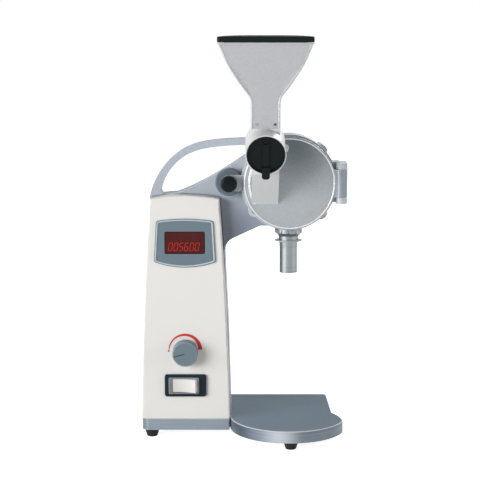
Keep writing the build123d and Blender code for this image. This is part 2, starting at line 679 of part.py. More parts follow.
def speed_control():
    """Potentiometer behind the cover, its shaft and the round knob with a pointer groove."""
    inside = COLUMN_FRONT + COVER_WALL
    knob_back = COLUMN_FRONT - BODY_GAP
    knob_front = knob_back - KNOB_T
    bore_front = knob_front + 0.3 * KNOB_T
    pot = rod_y(COLUMN_X, KNOB_Z, POT_R, inside, inside + POT_T)
    pot += rod_y(COLUMN_X, KNOB_Z, POT_SHAFT_R + POT_NECK_WALL - SEAT_GAP, COLUMN_FRONT, inside)
    pot -= rod_y(COLUMN_X, KNOB_Z, POT_SHAFT_R + RUNNING_GAP, COLUMN_FRONT, inside + POT_T - 2)
    knob = rod_y(COLUMN_X, KNOB_Z, KNOB_R, knob_front, knob_back)
    knob = chamfer(front_rim(knob, knob_front), 1.0)
    knob -= rod_y(COLUMN_X, KNOB_Z, POT_SHAFT_R, bore_front, knob_back)
    groove = block(-KNOB_R + 2 * KNOB_GROOVE, 0, knob_front, knob_front + KNOB_GROOVE,
                   -KNOB_GROOVE, KNOB_GROOVE)
    knob -= Pos(COLUMN_X, 0, KNOB_Z) * Rot(0, -KNOB_REST, 0) * groove
    shaft = rod_y(COLUMN_X, KNOB_Z, POT_SHAFT_R - SEAT_GAP / 2, bore_front, knob_back)
    shaft += rod_y(COLUMN_X, KNOB_Z, POT_SHAFT_R, knob_back, inside + POT_T - 3)
    keep("speed_pot", pot)
    keep("speed_knob", knob)
    keep("speed_shaft", shaft)


def mains_switch():
    """Dark housing through the cover, clear guard frame and the rocker on its trunnions."""
    front = COLUMN_FRONT - SWITCH_PROUD
    guard_front = front - GUARD_PROUD
    body_back = COLUMN_FRONT + COVER_WALL + SWITCH_DEPTH
    cavity_back = PIVOT_Y + ROCKER_DEEP + 4
    room_w = ROCKER_W + 2 * ROCKER_ROOM
    room_h = ROCKER_H + 2 * BODY_GAP
    trunnion_half = ROCKER_H / 2 + TRUNNION_LENGTH
    inset = 2 * (SWITCH_RIM + SEAT_GAP)
    bezel = fillet((Pos(COLUMN_X, SWITCH_Z) * Rectangle(SWITCH_W, SWITCH_H)).vertices(), 1.5 * SWITCH_RIM)
    body = Pos(COLUMN_X, SWITCH_Z) * Rectangle(SWITCH_W - inset, SWITCH_H - inset)
    housing = slab_y(bezel, front, COLUMN_FRONT) + slab_y(body, COLUMN_FRONT, body_back)
    cavity = slab_y(Pos(ROCKER_X, SWITCH_Z) * Rectangle(room_w, room_h), guard_front, cavity_back)
    bearing = rod_z(ROCKER_X, PIVOT_Y, TRUNNION_R + RUNNING_GAP, SWITCH_Z - trunnion_half - BODY_GAP,
                    SWITCH_Z + trunnion_half + BODY_GAP)
    housing = housing - cavity - bearing
    guard = fillet((Pos(GUARD_X, SWITCH_Z) * Rectangle(GUARD_W, GUARD_H)).vertices(), GUARD_PROUD)
    guard = slab_y(guard, guard_front, front) - cavity
    half = ROCKER_W / 2
    bottom = half - 1.4
    profile = make_face(Polyline((-half, -ROCKER_HORN), (0, -ROCKER_DISH), (half, -ROCKER_HORN), (bottom, 2),
                                 (0, ROCKER_DEEP), (-bottom, 2), close=True))
    rocker = slab_z(profile, -ROCKER_H / 2, ROCKER_H / 2)
    rocker += rod_z(0, 0, TRUNNION_R, -trunnion_half, trunnion_half)
    rocker = Pos(ROCKER_X, PIVOT_Y, SWITCH_Z) * Rot(0, 0, -ROCKER_TILT) * rocker
    keep("switch_housing", housing)
    keep("rocker_guard", guard)
    keep("rocker", rocker)


# ================================================================ chamber and hinge
def lug_places():
    """Where the chamber is screwed to the casting."""
    return [(x, AXIS_Z + z) for x, z in (polar(LUG_ORBIT, angle) for angle in LUG_ANGLES)]


def chamber_housing():
    """Round bowl with four screw lugs, a flat pad for the hinge and a hole for the outlet."""
    floor = CHAMBER_BACK - CHAMBER_WALL
    lug_front = CHAMBER_FRONT + 4
    head_back = lug_front + 1
    low = AXIS_Z - CHAMBER_R
    bowl = rod_y(0, AXIS_Z, CHAMBER_R, CHAMBER_FRONT, CHAMBER_BACK)
    for x, z in lug_places():
        bowl += rod_y(x, z, LUG_R, lug_front, CHAMBER_BACK)
    pad_x = HINGE_X + HINGE_R - HINGE_LEAF_T
    bowl += block(CHAMBER_BORE_R - 6, pad_x, CHAMBER_FRONT + 6, CHAMBER_BACK - 6,
                  AXIS_Z - HINGE_HALF, AXIS_Z + HINGE_HALF)
    bowl -= rod_y(0, AXIS_Z, CHAMBER_BORE_R, CHAMBER_FRONT, floor)
    bowl -= rod_y(0, AXIS_Z, SHAFT_R + SHAFT_ROOM, floor, CHAMBER_BACK)
    bowl -= rod_y(0, AXIS_Z, SEAL_R, floor, floor + SEAL_T)
    bowl -= rod_z(0, 0, SPIGOT_R + SEAT_GAP, low, AXIS_Z - CHAMBER_BORE_R / 2)
    bowl -= rod_z(0, 0, NUT_R, low - NUT_SEAT, low + NUT_SEAT)
    screws = []
    for x, z in lug_places():
        bowl -= rod_y(x, z, LUG_SCREW_R, head_back, CHAMBER_BACK)
        bowl -= rod_y(x, z, 2 * LUG_SCREW_R, CHAMBER_FRONT, head_back)
        screw = rod_y(x, z, LUG_SCREW_R - SEAT_GAP, head_back, CHAMBER_BACK + LUG_THREAD)
        screws.append(screw + rod_y(x, z, 2 * LUG_SCREW_R - 4 * SEAT_GAP, CHAMBER_FRONT + 1.5, head_back))
    for x, y, z in hinge_screw_places():
        bowl -= slab_x(Pos(y, z) * Circle(HINGE_SCREW_R), x - HINGE_LEAF_T - TIP_ROOM, x)
    seal = tube_y(0, AXIS_Z, SEAL_R - SEAT_GAP, SHAFT_R + RUNNING_GAP, floor, floor + SEAL_T)
    keep("chamber_housing", bowl)
    keep("chamber_screws", *screws)
    keep("shaft_seal", seal)


def hinge_screw_places():
    x = HINGE_X + HINGE_R - HINGE_LEAF_T
    y = CHAMBER_FRONT + 14
    rise = HINGE_HALF - 6
    return [(x, y, AXIS_Z - rise), (x, y, AXIS_Z + rise)]


def hinge():
    """Bracket with two ears, screwed to the chamber's side, and the pin through the door."""
    x_out = HINGE_X + HINGE_R
    x_pad = x_out - HINGE_LEAF_T
    y_leaf = HINGE_Y + HINGE_R + BODY_GAP
    head_x = x_out - 1.5 * HINGE_SCREW_R
    bracket = block(x_pad, x_out, y_leaf, CHAMBER_FRONT + 20, AXIS_Z - HINGE_HALF, AXIS_Z + HINGE_HALF)
    for side in (-1, 1):
        z0, z1 = sorted((AXIS_Z + side * (KNUCKLE_HALF + BODY_GAP), AXIS_Z + side * HINGE_HALF))
        bracket += rod_z(HINGE_X, HINGE_Y, HINGE_R, z0, z1)
        bracket += block(HINGE_X - 2, x_out, HINGE_Y, y_leaf + 1, z0, z1)
    bracket -= rod_z(HINGE_X, HINGE_Y, HINGE_PIN_R + SEAT_GAP / 2, AXIS_Z - HINGE_HALF, AXIS_Z + HINGE_HALF)
    screws = []
    for x, y, z in hinge_screw_places():
        bracket -= slab_x(Pos(y, z) * Circle(HINGE_SCREW_R + SEAT_GAP), x, x_out)
        bracket -= slab_x(Pos(y, z) * Circle(2 * HINGE_SCREW_R), head_x, x_out)
        screw = slab_x(Pos(y, z) * Circle(HINGE_SCREW_R - SEAT_GAP), x - HINGE_LEAF_T, head_x)
        head = slab_x(Pos(y, z) * Circle(2 * HINGE_SCREW_R - 4 * SEAT_GAP), head_x, x_out - BODY_GAP)
        screws.append(screw + head)
    pin = rod_z(HINGE_X, HINGE_Y, HINGE_PIN_R, AXIS_Z - HINGE_HALF, AXIS_Z + HINGE_HALF)
    keep("hinge_bracket", bracket)
    keep("hinge_screws", *screws)
    keep("hinge_pin", pin)


# ================================================================ door, feed housing, latch
def feed_frame():
    """Plane at the valve's front ring; its z axis runs back along the valve."""
    tilt = math.radians(FEED_TILT)
    return Plane(origin=(FEED_X, FEED_FRONT, FEED_Z), x_dir=(1, 0, 0),
                 z_dir=(0, math.cos(tilt), math.sin(tilt)))


def along_feed(sketch, start, end):
    """A sketch on the valve's cross-section made solid between two depths along its axis."""
    return extrude(feed_frame().offset(start) * sketch, amount=end - start)


def chute_bore():
    """The slanted channel from the valve down through the door into the chamber."""
    lean = math.radians(CHUTE_LEAN)
    top = Vector(FEED_X, FEED_FRONT + 33, FEED_Z - 10.7)
    drop = Vector(0, math.sin(lean), -math.cos(lean))
    return extrude(Plane(origin=top, z_dir=drop) * Circle(CHUTE_BORE_R), amount=66)


def door():
    """Cast round door with hinge knuckle, latch lug and a raised bead beside the chute."""
    back = DOOR_BACK
    bed = DOOR_FRONT + DOOR_BED
    bead_r = DOOR_R - DOOR_BEAD_INSET
    lug_front = back - LATCH_LUG_T
    leaf = rod_y(0, AXIS_Z, DOOR_R, DOOR_FRONT, back)
    leaf = chamfer(front_rim(leaf, DOOR_FRONT), DOOR_RIM)
    leaf -= rod_y(0, AXIS_Z, DOOR_R - DOOR_EDGE, DOOR_FRONT, bed)
    bead = tube_y(0, AXIS_Z, bead_r, bead_r - DOOR_BEAD_W, DOOR_FRONT - DOOR_BEAD_PROUD, bed)
    leaf += bead & block(-DOOR_R, FEED_X, DOOR_FRONT - 1, back, CHUTE_BOTTOM, AXIS_Z + DOOR_R / 2)
    leaf += rod_z(HINGE_X, HINGE_Y, HINGE_R, AXIS_Z - KNUCKLE_HALF, AXIS_Z + KNUCKLE_HALF)
    leaf += block(DOOR_R - 12, HINGE_X, HINGE_Y - HINGE_R + 1.5, back, AXIS_Z - KNUCKLE_HALF,
                  AXIS_Z + KNUCKLE_HALF)
    leaf -= rod_z(HINGE_X, HINGE_Y, HINGE_PIN_R + RUNNING_GAP,
                  AXIS_Z - KNUCKLE_HALF, AXIS_Z + KNUCKLE_HALF)
    leaf += rod_y(LATCH_X, AXIS_Z, LATCH_LUG_R, lug_front, back)
    leaf += block(LATCH_X, -DOOR_R + 6, lug_front, back, AXIS_Z - LATCH_LUG_R, AXIS_Z + LATCH_LUG_R)
    leaf -= rod_y(LATCH_X, AXIS_Z, STUD_R + BODY_GAP, lug_front, back)
    leaf -= chute_bore()
    seal_out = CHAMBER_BORE_R - DOOR_SEAL_W
    seal_in = seal_out - DOOR_SEAL_W
    seal_front = back - DOOR_SEAL_T
    leaf -= tube_y(0, AXIS_Z, seal_out, seal_in, seal_front, back)
    seal = tube_y(0, AXIS_Z, seal_out - SEAT_GAP, seal_in + SEAT_GAP, seal_front, back)
    keep("door", leaf)
    keep("door_seal", seal)
    return leaf


def neck_outline(shrink=0.0):
    """Plan of the hopper's neck, and of the spigot and throat inside it."""
    middle = Pos(FEED_X, NECK_FRONT + NECK_D / 2)
    return middle * Rectangle(NECK_W - 2 * shrink, NECK_D - 2 * shrink)


def feed_housing(door_leaf):
    """Tilted valve barrel with the spigot for the hopper and the chute down to the door."""
    face = DOOR_FRONT + DOOR_BED
    bore_end = FEED_KNOB_T + PLUG_LENGTH + BODY_GAP
    spigot_top = NECK_BOTTOM + SPIGOT_RISE
    barrel = along_feed(Circle(FEED_R), 0, FEED_LENGTH)
    chute_side = make_face(Polyline(
        (face, CHUTE_BOTTOM), (FEED_FRONT + 22, FEED_Z - FEED_R - 0.6), (FEED_FRONT + 25, FEED_Z - 6),
        (face, FEED_Z + 12), close=True))
    barrel += slab_x(chute_side, FEED_X - CHUTE_W / 2, FEED_X + CHUTE_W / 2)
    barrel += slab_z(neck_outline(), FEED_Z, NECK_BOTTOM)
    barrel += slab_z(neck_outline(SHEET + SEAT_GAP), FEED_Z, spigot_top)
    barrel -= slab_z(neck_outline(SHEET + SEAT_GAP + SPIGOT_WALL), FEED_Z + 4, spigot_top)
    barrel -= along_feed(Circle(FEED_R - FEED_RING_WALL), 0, FEED_KNOB_T)
    barrel -= along_feed(Circle(PLUG_R + RUNNING_GAP), FEED_KNOB_T, bore_end)
    barrel -= chute_bore()
    lug = Pos(FEED_X + FEED_R - 1, FEED_FRONT + 19, FEED_Z + 6.3)
    lug = lug * Rot(90 - FEED_TILT, 0, 0) * Cylinder(FEED_LUG_R, 12)
    barrel += lug - along_feed(Circle(FEED_R - 1), -5, FEED_LENGTH)
    barrel -= door_leaf
    for x, y, z in grub_places():
        barrel -= rod_y(x, z, GRUB_R, y, y + SHEET + SPIGOT_WALL + TIP_ROOM)
    keep("feed_housing", barrel)


def grub_places():
    z = NECK_BOTTOM + GRUB_RISE
    return [(FEED_X + side * GRUB_SIDE, NECK_FRONT, z) for side in (1, -1)]


def feed_valve():
    """Plug with its pocket, the black knob with a pointer, and the screw between them."""
    plug_front = FEED_KNOB_T - BODY_GAP
    plug_end = FEED_KNOB_T + PLUG_LENGTH
    groove_end = O_RING_FRONT + O_RING_T
    screw_end = FEED_KNOB_T + PLUG_R / 2
    head_back = VALVE_HEAD_FRONT + VALVE_HEAD_T
    plug = along_feed(Circle(PLUG_R), plug_front, plug_end)
    plug -= along_feed(Rectangle(2 * CHUTE_BORE_R, 4 * PLUG_R), POCKET_FRONT, POCKET_BACK)
    web = Rectangle(POCKET_WEB, 2 * PLUG_R) & Circle(PLUG_R - 1)
    plug += along_feed(web, POCKET_FRONT, POCKET_BACK)
    groove_floor = along_feed(Circle(PLUG_R - O_RING_DEPTH), O_RING_FRONT, groove_end)
    plug -= along_feed(Circle(PLUG_R), O_RING_FRONT, groove_end) - groove_floor
    plug -= along_feed(Circle(VALVE_SCREW_R), plug_front, screw_end)
    o_ring = along_feed(Circle(PLUG_R - SEAT_GAP), O_RING_FRONT, groove_end) - groove_floor
    disc_r = FEED_R - FEED_RING_WALL - BODY_GAP
    arm_top = disc_r - 8
    knob = along_feed(Circle(disc_r), -FEED_KNOB_PROUD, plug_front)
    dish = along_feed(Circle(disc_r - 1.6), -FEED_KNOB_PROUD, DISH_DEPTH)
    ridge = along_feed(Rectangle(RIDGE_W, 2 * disc_r - 3), -FEED_KNOB_PROUD, DISH_DEPTH)
    knob -= dish - ridge
    knob -= along_feed(Pos(0, 6 - disc_r) * Circle(SCOOP_R), -FEED_KNOB_PROUD, 1.0)
    arm = Pos(0, (POINTER_REACH + arm_top) / 2) * Rectangle(POINTER_W, POINTER_REACH - arm_top)
    corners = [(-POINTER_W / 2, POINTER_REACH), (POINTER_W / 2, POINTER_REACH)]
    knob += along_feed(round_corners(arm, corners, 3.6), -FEED_KNOB_PROUD - POINTER_T, -BODY_GAP)
    knob -= along_feed(Circle(VALVE_HEAD_R + SEAT_GAP), VALVE_HEAD_FRONT, head_back)
    knob -= along_feed(Circle(VALVE_SCREW_R), head_back, plug_front)
    screw = along_feed(Circle(VALVE_HEAD_R), VALVE_HEAD_FRONT, head_back)
    screw += along_feed(Circle(VALVE_SCREW_R - SEAT_GAP), head_back, screw_end - TIP_ROOM)
    keep("valve_plug", plug)
    keep("valve_o_ring", o_ring)
    keep("feed_knob", knob)
    keep("valve_screw", screw)


def latch():
    """Grey boss on the arm, and the serrated knob whose stud draws the door shut."""
    lug_front = DOOR_BACK - LATCH_LUG_T
    stud_end = CHAMBER_FRONT + STUD_REACH
    bore_end = stud_end + 2 * BODY_GAP
    boss = rod_y(LATCH_X, AXIS_Z, LATCH_BOSS_R, CHAMBER_FRONT, ARM_FRONT)
    boss = chamfer(front_rim(boss, CHAMBER_FRONT), 1.2)
    boss -= rod_y(LATCH_X, AXIS_Z, STUD_R + STUD_ROOM, CHAMBER_FRONT, bore_end)
    boss -= rod_y(LATCH_X, AXIS_Z, PLUNGER_R + RUNNING_GAP, bore_end, ARM_FRONT)
    boss -= rod_y(0, AXIS_Z, CHAMBER_R + SEAT_GAP, CHAMBER_FRONT, ARM_FRONT)
    collar_back = lug_front - BODY_GAP
    collar_front = collar_back - COLLAR_T
    collar = tube_y(LATCH_X, AXIS_Z, COLLAR_R, STUD_R + RUNNING_GAP, collar_front, collar_back)
    knob_back = collar_front - BODY_GAP
    knob_front = knob_back - LATCH_KNOB_T
    shoulder = knob_front + LATCH_KNOB_NOSE
    stud_front = knob_front + 0.25 * LATCH_KNOB_T
    teeth = Circle(LATCH_KNOB_R)
    for tooth in range(LATCH_TEETH):
        valley = Pos(LATCH_KNOB_R + 0.2, 0) * Circle(TOOTH_R)
        teeth -= Rot(0, 0, tooth * 360 / LATCH_TEETH) * valley
    knob = slab_y(Pos(LATCH_X, AXIS_Z) * teeth, shoulder, knob_back)
    nose = Cone(LATCH_KNOB_R - 0.9, LATCH_KNOB_R - 2.1, LATCH_KNOB_NOSE)
    knob += Pos(LATCH_X, shoulder - LATCH_KNOB_NOSE / 2, AXIS_Z) * Rot(90, 0, 0) * nose
    knob -= rod_y(LATCH_X, AXIS_Z, STUD_R, stud_front, knob_back)
    stud = rod_y(LATCH_X, AXIS_Z, STUD_R, stud_front, stud_end)
    plunger = rod_y(LATCH_X, AXIS_Z, PLUNGER_R, stud_end + BODY_GAP, stud_end + BODY_GAP + PLUNGER_LENGTH)
    switch = Pos(LATCH_X - 1, AXIS_Z - 1) * Rectangle(22, 18)
    case = slab_y(switch, ARM_BACK, ARM_BACK + INTERLOCK_DEPTH)
    case -= rod_y(LATCH_X, AXIS_Z, PLUNGER_R + RUNNING_GAP, ARM_BACK, ARM_BACK + 0.65 * INTERLOCK_DEPTH)
    keep("latch_boss", boss)
    keep("latch_collar", collar)
    keep("latch_knob", knob)
    keep("latch_stud", stud)
    keep("interlock_plunger", plunger)
    keep("interlock_switch", case)


# ================================================================ hopper
def hopper_front(shrink, low):
    """Front view of the hopper: straight neck, then sides that open and steepen."""
    neck = (NECK_W / 2, NECK_TOP)
    rim = (HOPPER_HALF, HOPPER_TOP)
    bend = [along(neck, rim, (out, up)) for up, out in HOPPER_SIDES]
    right = [(x - shrink, z) for x, z in [neck, *bend, rim]]
    left = [(-x, z) for x, z in right]
    half_neck = right[0][0]
    upper = outline(Spline(right), Spline(left), Line(right[-1], left[-1]), Line(right[0], left[0]))
    stem = Pos(0, (low + NECK_TOP) / 2) * Rectangle(2 * half_neck, NECK_TOP - low)
    return Pos(FEED_X, 0) * (upper + stem)


def hopper_side(shrink, low):
    """Side view of the hopper: upright front, back that leans away above the neck."""
    front = NECK_FRONT + shrink
    neck_back = NECK_FRONT + NECK_D - shrink
    top_back = HOPPER_BACK - shrink
    return make_face(Polyline((front, low), (neck_back, low), (neck_back, NECK_TOP),
                              (top_back, HOPPER_TOP), (front, HOPPER_TOP), close=True))


def hopper_body(shrink):
    deep = 2 * HOPPER_DEPTH
    wide = 2 * HOPPER_HALF
    front_view = slab_y(hopper_front(shrink, NECK_BOTTOM), NECK_FRONT - deep, NECK_FRONT + deep)
    return front_view & slab_x(hopper_side(shrink, NECK_BOTTOM), FEED_X - wide, FEED_X + wide)


def lid_outline(grow):
    middle = Pos(FEED_X, NECK_FRONT + HOPPER_DEPTH / 2)
    return middle * Rectangle(2 * (HOPPER_HALF + grow), HOPPER_DEPTH + 2 * grow)


def hopper():
    """Folded sheet-metal funnel over the spigot, its grub screws and the black lid."""
    funnel = hopper_body(0.0) - hopper_body(SHEET)
    funnel -= along_feed(Circle(FEED_R), 0, FEED_LENGTH)
    grubs = []
    for x, y, z in grub_places():
        funnel -= rod_y(x, z, GRUB_R, y, y + SHEET)
        grubs.append(rod_y(x, z, GRUB_R - SEAT_GAP, y - 0.6, y + SHEET + SPIGOT_WALL - 4 * SEAT_GAP))
    lid_low = HOPPER_TOP + BODY_GAP
    lid = slab_z(lid_outline(LID_LAP), lid_low, lid_low + LID_T)
    lid = fillet(lid.edges().filter_by(Axis.Z), 3.0)
    lid = fillet(lid.edges().group_by(Axis.Z)[-1], 0.3 * LID_T)
    lid += slab_z(lid_outline(-LID_STEP_IN), lid_low - LID_PLUG, lid_low)
    keep("hopper", funnel)
    keep("hopper_grub_screws", *grubs)
    keep("hopper_lid", lid)


# ================================================================ outlet
def outlet():
    """Castellated nut, plain collar, thin washer and the smooth tube that the product leaves by."""
    nut_top = AXIS_Z - CHAMBER_R + NUT_SEAT
    nut_low = nut_top - NUT_T
    cone_top = nut_low + NUT_CONE
    collar_low = nut_low - COLLAR_NECK_T
    washer_low = collar_low - WASHER_T
    spigot_top = AXIS_Z - CHAMBER_BORE_R - 1
    bore = SPIGOT_R + SEAT_GAP
    nut = rod_z(0, 0, NUT_R, cone_top, nut_top)
    nut += cone_z(0, 0, COLLAR_NECK_R + 0.6, NUT_R, nut_low, cone_top)
    for notch in range(NUT_NOTCHES):
        x, y = polar(NUT_R, notch * 360 / NUT_NOTCHES)
        nut -= rod_z(x, y, NOTCH_R, cone_top, nut_top - NUT_SEAT - BODY_GAP)
    nut -= rod_z(0, 0, bore, nut_low, nut_top)
    collar = rod_z(0, 0, COLLAR_NECK_R, collar_low, nut_low) - rod_z(0, 0, bore, collar_low, nut_low)
    washer = rod_z(0, 0, WASHER_R, washer_low, collar_low) - rod_z(0, 0, bore, washer_low, collar_low)
    tube = rod_z(0, 0, TUBE_R, TUBE_END, TUBE_END + TUBE_STRAIGHT)
    tube += cone_z(0, 0, TUBE_R, TUBE_MOUTH_R, TUBE_END + TUBE_STRAIGHT, washer_low)
    tube += rod_z(0, 0, SPIGOT_R, washer_low, spigot_top)
    tube -= rod_z(0, 0, TUBE_BORE_R, TUBE_END, spigot_top)
    keep("outlet_nut", nut)
    keep("outlet_collar", collar)
    keep("outlet_washer", washer)
    keep("outlet_tube", tube)


# ================================================================ motor
def taper_y(r_front, r_back, y0, y1):
    """A round body on the motor's axis that tapers from y0 to y1."""
    return Pos(0, (y0 + y1) / 2, AXIS_Z) * Rot(-90, 0, 0) * Cone(r_front, r_back, y1 - y0)


def axis_tube(r_out, r_in, y0, y1):
    return tube_y(0, AXIS_Z, r_out, r_in, y0, y1)


def motor_end_cap():
    """Tapered rear cap with air holes and the seat of the rear bearing."""
    inner = MOTOR_R - MOTOR_WALL
    seat_r = BEARING_R - BEARING_STEP
    seat_front = CAP_FLOOR - REAR_BEARING_T
    cap = taper_y(MOTOR_R, CAP_R, MOTOR_BODY_END, MOTOR_END)
    cap -= taper_y(inner, CAP_R - MOTOR_WALL, MOTOR_BODY_END, CAP_FLOOR)
    vent_z = MOTOR_R - MOTOR_WALL / 2
    vent = block(-1.5 * VENT_R, 1.5 * VENT_R, MOTOR_BODY_END + 8, MOTOR_BODY_END + 26,
                 vent_z - MOTOR_WALL, vent_z + MOTOR_WALL)
    for place in range(VENT_COUNT):
        cap -= Pos(0, 0, AXIS_Z) * Rot(0, (place + 0.5) * 360 / VENT_COUNT, 0) * vent
    for ring in range(VENT_RINGS):
        count = 8 + 4 * ring
        for place in range(count):
            x, z = polar(18 + 6 * ring, place * 360 / count)
            cap -= rod_y(x, AXIS_Z + z, VENT_R, CAP_FLOOR, MOTOR_END)
    cap += axis_tube(seat_r + MOTOR_WALL, seat_r, seat_front, CAP_FLOOR)
    rear = axis_tube(seat_r - SEAT_GAP, SHAFT_R + RUNNING_GAP, seat_front, CAP_FLOOR)
    keep("motor_end_cap", cap)
    keep("rear_bearing", rear)


def motor():
    """Motor behind the flange: housing, stator, brushes under their caps, and front bearing."""
    inner = MOTOR_R - MOTOR_WALL
    brush_y = MOTOR_BODY_END - 1.8 * BRUSH_HALF
    brush_end = inner - BODY_GAP
    housing = axis_tube(MOTOR_R, inner, MOTOR_FRONT, MOTOR_BODY_END)
    stator = axis_tube(inner - SEAT_GAP, STATOR_BORE_R, STATOR_FRONT, STATOR_BACK)
    nose = axis_tube(BEARING_R - SEAT_GAP, SHAFT_R + RUNNING_GAP, CHAMBER_BACK + BEARING_STEP, MOTOR_FRONT)
    holders, caps = [], []
    for side in (-1, 1):
        near, far = sorted((side * (COMMUTATOR_R + BODY_GAP), side * brush_end))
        holders.append(block(near, far, brush_y - BRUSH_HALF, brush_y + BRUSH_HALF,
                             AXIS_Z - BRUSH_HALF, AXIS_Z + BRUSH_HALF))
        inside, outside = sorted((side * brush_end, side * (MOTOR_R + 1.0)))
        housing -= slab_x(Pos(brush_y, AXIS_Z) * Circle(BRUSH_HALF), inside, outside)
        caps.append(slab_x(Pos(brush_y, AXIS_Z) * Circle(BRUSH_HALF - SEAT_GAP), inside, outside))
    keep("motor_housing", housing)
    keep("motor_stator", stator)
    keep("front_bearing", nose)
    keep("brush_holders", *holders)
    keep("brush_caps", *caps)


def motor_train():
    """What turns inside the motor: shaft, armature, commutator and cooling fan."""
    bore = SHAFT_R + SEAT_GAP / 2
    core_front = STATOR_FRONT + 2
    core_back = STATOR_BACK - 2
    core_r = STATOR_BORE_R - AIR_GAP
    fan_front = MOTOR_BODY_END + 4
    web_t = 2.0
    shaft = rod_y(0, AXIS_Z, SHAFT_R, BAR_FRONT - 1.0, CAP_FLOOR - 1.0)
    armature = axis_tube(core_r, bore, core_front, core_back)
    for slot in range(ARMATURE_SLOTS):
        x, z = polar(core_r, slot * 360 / ARMATURE_SLOTS)
        armature -= rod_y(x, AXIS_Z + z, 2 * AIR_GAP, core_front, core_back)
    commutator = axis_tube(COMMUTATOR_R, bore, STATOR_BACK + 4, MOTOR_BODY_END)
    fan = axis_tube(FAN_HUB_R, bore, fan_front, fan_front + FAN_T)
    fan += axis_tube(FAN_R, FAN_HUB_R - 1, fan_front, fan_front + web_t)
    blade = block(FAN_HUB_R - 1, FAN_R - 1, fan_front + 1, fan_front + FAN_T - 1, -0.8, 0.8)
    for place in range(FAN_BLADES):
        fan += Pos(0, 0, AXIS_Z) * Rot(0, place * 360 / FAN_BLADES, 0) * blade
    keep("motor_shaft", shaft)
    keep("armature", armature)
    keep("commutator", commutator)
    keep("cooling_fan", fan)


def rotor():
    """Disc with a hub and beater bars inside the chamber, and the nut that holds it."""
    bore = SHAFT_R + SEAT_GAP / 2
    disc_back = CHAMBER_BACK - CHAMBER_WALL - 3.0
    disc_front = disc_back - ROTOR_T
    hub_front = disc_front - ROTOR_T
    disc = axis_tube(ROTOR_R, bore, disc_front, disc_back)
    disc += axis_tube(ROTOR_HUB_R, bore, hub_front, disc_back)
    bar = block(ROTOR_R - 1 - BAR_LENGTH, ROTOR_R - 1, BAR_FRONT, disc_front + 1, -BAR_HALF, BAR_HALF)
    for place in range(BAR_COUNT):
        disc += Pos(0, 0, AXIS_Z) * Rot(0, place * 360 / BAR_COUNT, 0) * bar
    nut = slab_y(Pos(0, AXIS_Z) * RegularPolygon(ROTOR_NUT_R, 6), BAR_FRONT + 0.5, hub_front)
    nut -= rod_y(0, AXIS_Z, bore, BAR_FRONT, hub_front)
    keep("rotor", disc)
    keep("rotor_nut", nut)


def sieve_ring():
    """Perforated steel ring round the rotor, seated on the bottom of the bowl."""
    floor = CHAMBER_BACK - CHAMBER_WALL
    front = CHAMBER_FRONT + 1.0
    middle = (front + floor) / 2
    pitch = 180 / SIEVE_HOLES
    ring = axis_tube(SIEVE_R, SIEVE_R - SIEVE_WALL, front, floor)
    for hole in range(SIEVE_HOLES):
        x, z = polar(1.0, -90 + (hole - (SIEVE_HOLES - 1) / 2) * pitch)
        drill = Plane(origin=(0, middle, AXIS_Z), z_dir=(x, 0, z)) * Circle(SIEVE_HOLE_R)
        ring -= extrude(drill, amount=SIEVE_R + SIEVE_GAP)
    keep("sieve_ring", ring)


# ================================================================ the whole mill
def build_all():
    base_plate()
    feet()
    cast_frame()
    front_cover()
    rear_cover()
    mains_inlet()
    display()
    control_board()
    speed_control()
    mains_switch()
    chamber_housing()
    hinge()
    leaf = door()
    feed_housing(leaf)
    feed_valve()
    latch()
    hopper()
    outlet()
    motor()
    motor_end_cap()
    motor_train()
    rotor()
    sieve_ring()


def origin_shift():
    """From the outlet's axis to the middle of the mill's footprint on the floor."""
    boxes = [solid.bounding_box() for solids in MODEL.values() for solid in solids]
    x0 = min(box.min.X for box in boxes)
    x1 = max(box.max.X for box in boxes)
    y0 = min(box.min.Y for box in boxes)
    y1 = max(box.max.Y for box in boxes)
    return Vector(-(x0 + x1) / 2, -(y0 + y1) / 2, 0)


build_all()
SHIFT = origin_shift()
os.makedirs("parts", exist_ok=True)
for node, solids in MODEL.items():
    placed = [Pos(SHIFT) * solid for solid in solids]
    export_step(Compound(placed) if len(placed) > 1 else placed[0], f"parts/{node}.step")
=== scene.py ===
import json
import math

import bpy
import bmesh
import numpy as np
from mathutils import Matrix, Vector


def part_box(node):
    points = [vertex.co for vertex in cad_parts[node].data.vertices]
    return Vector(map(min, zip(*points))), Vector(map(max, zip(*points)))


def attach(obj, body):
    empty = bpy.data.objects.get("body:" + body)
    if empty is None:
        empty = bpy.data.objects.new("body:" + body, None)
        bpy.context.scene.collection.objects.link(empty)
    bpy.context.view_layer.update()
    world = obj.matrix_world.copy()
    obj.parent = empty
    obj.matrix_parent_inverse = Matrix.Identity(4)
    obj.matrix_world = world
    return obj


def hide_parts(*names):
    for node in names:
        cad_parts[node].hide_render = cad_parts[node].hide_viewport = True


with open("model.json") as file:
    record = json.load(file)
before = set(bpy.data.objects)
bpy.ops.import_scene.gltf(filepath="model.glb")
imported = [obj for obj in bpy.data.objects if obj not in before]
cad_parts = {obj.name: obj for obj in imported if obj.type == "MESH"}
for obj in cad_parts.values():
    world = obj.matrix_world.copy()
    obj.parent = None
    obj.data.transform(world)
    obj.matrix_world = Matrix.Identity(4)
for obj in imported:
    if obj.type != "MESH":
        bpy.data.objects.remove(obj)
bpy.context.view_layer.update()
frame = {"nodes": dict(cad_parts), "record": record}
nodes = frame["nodes"]


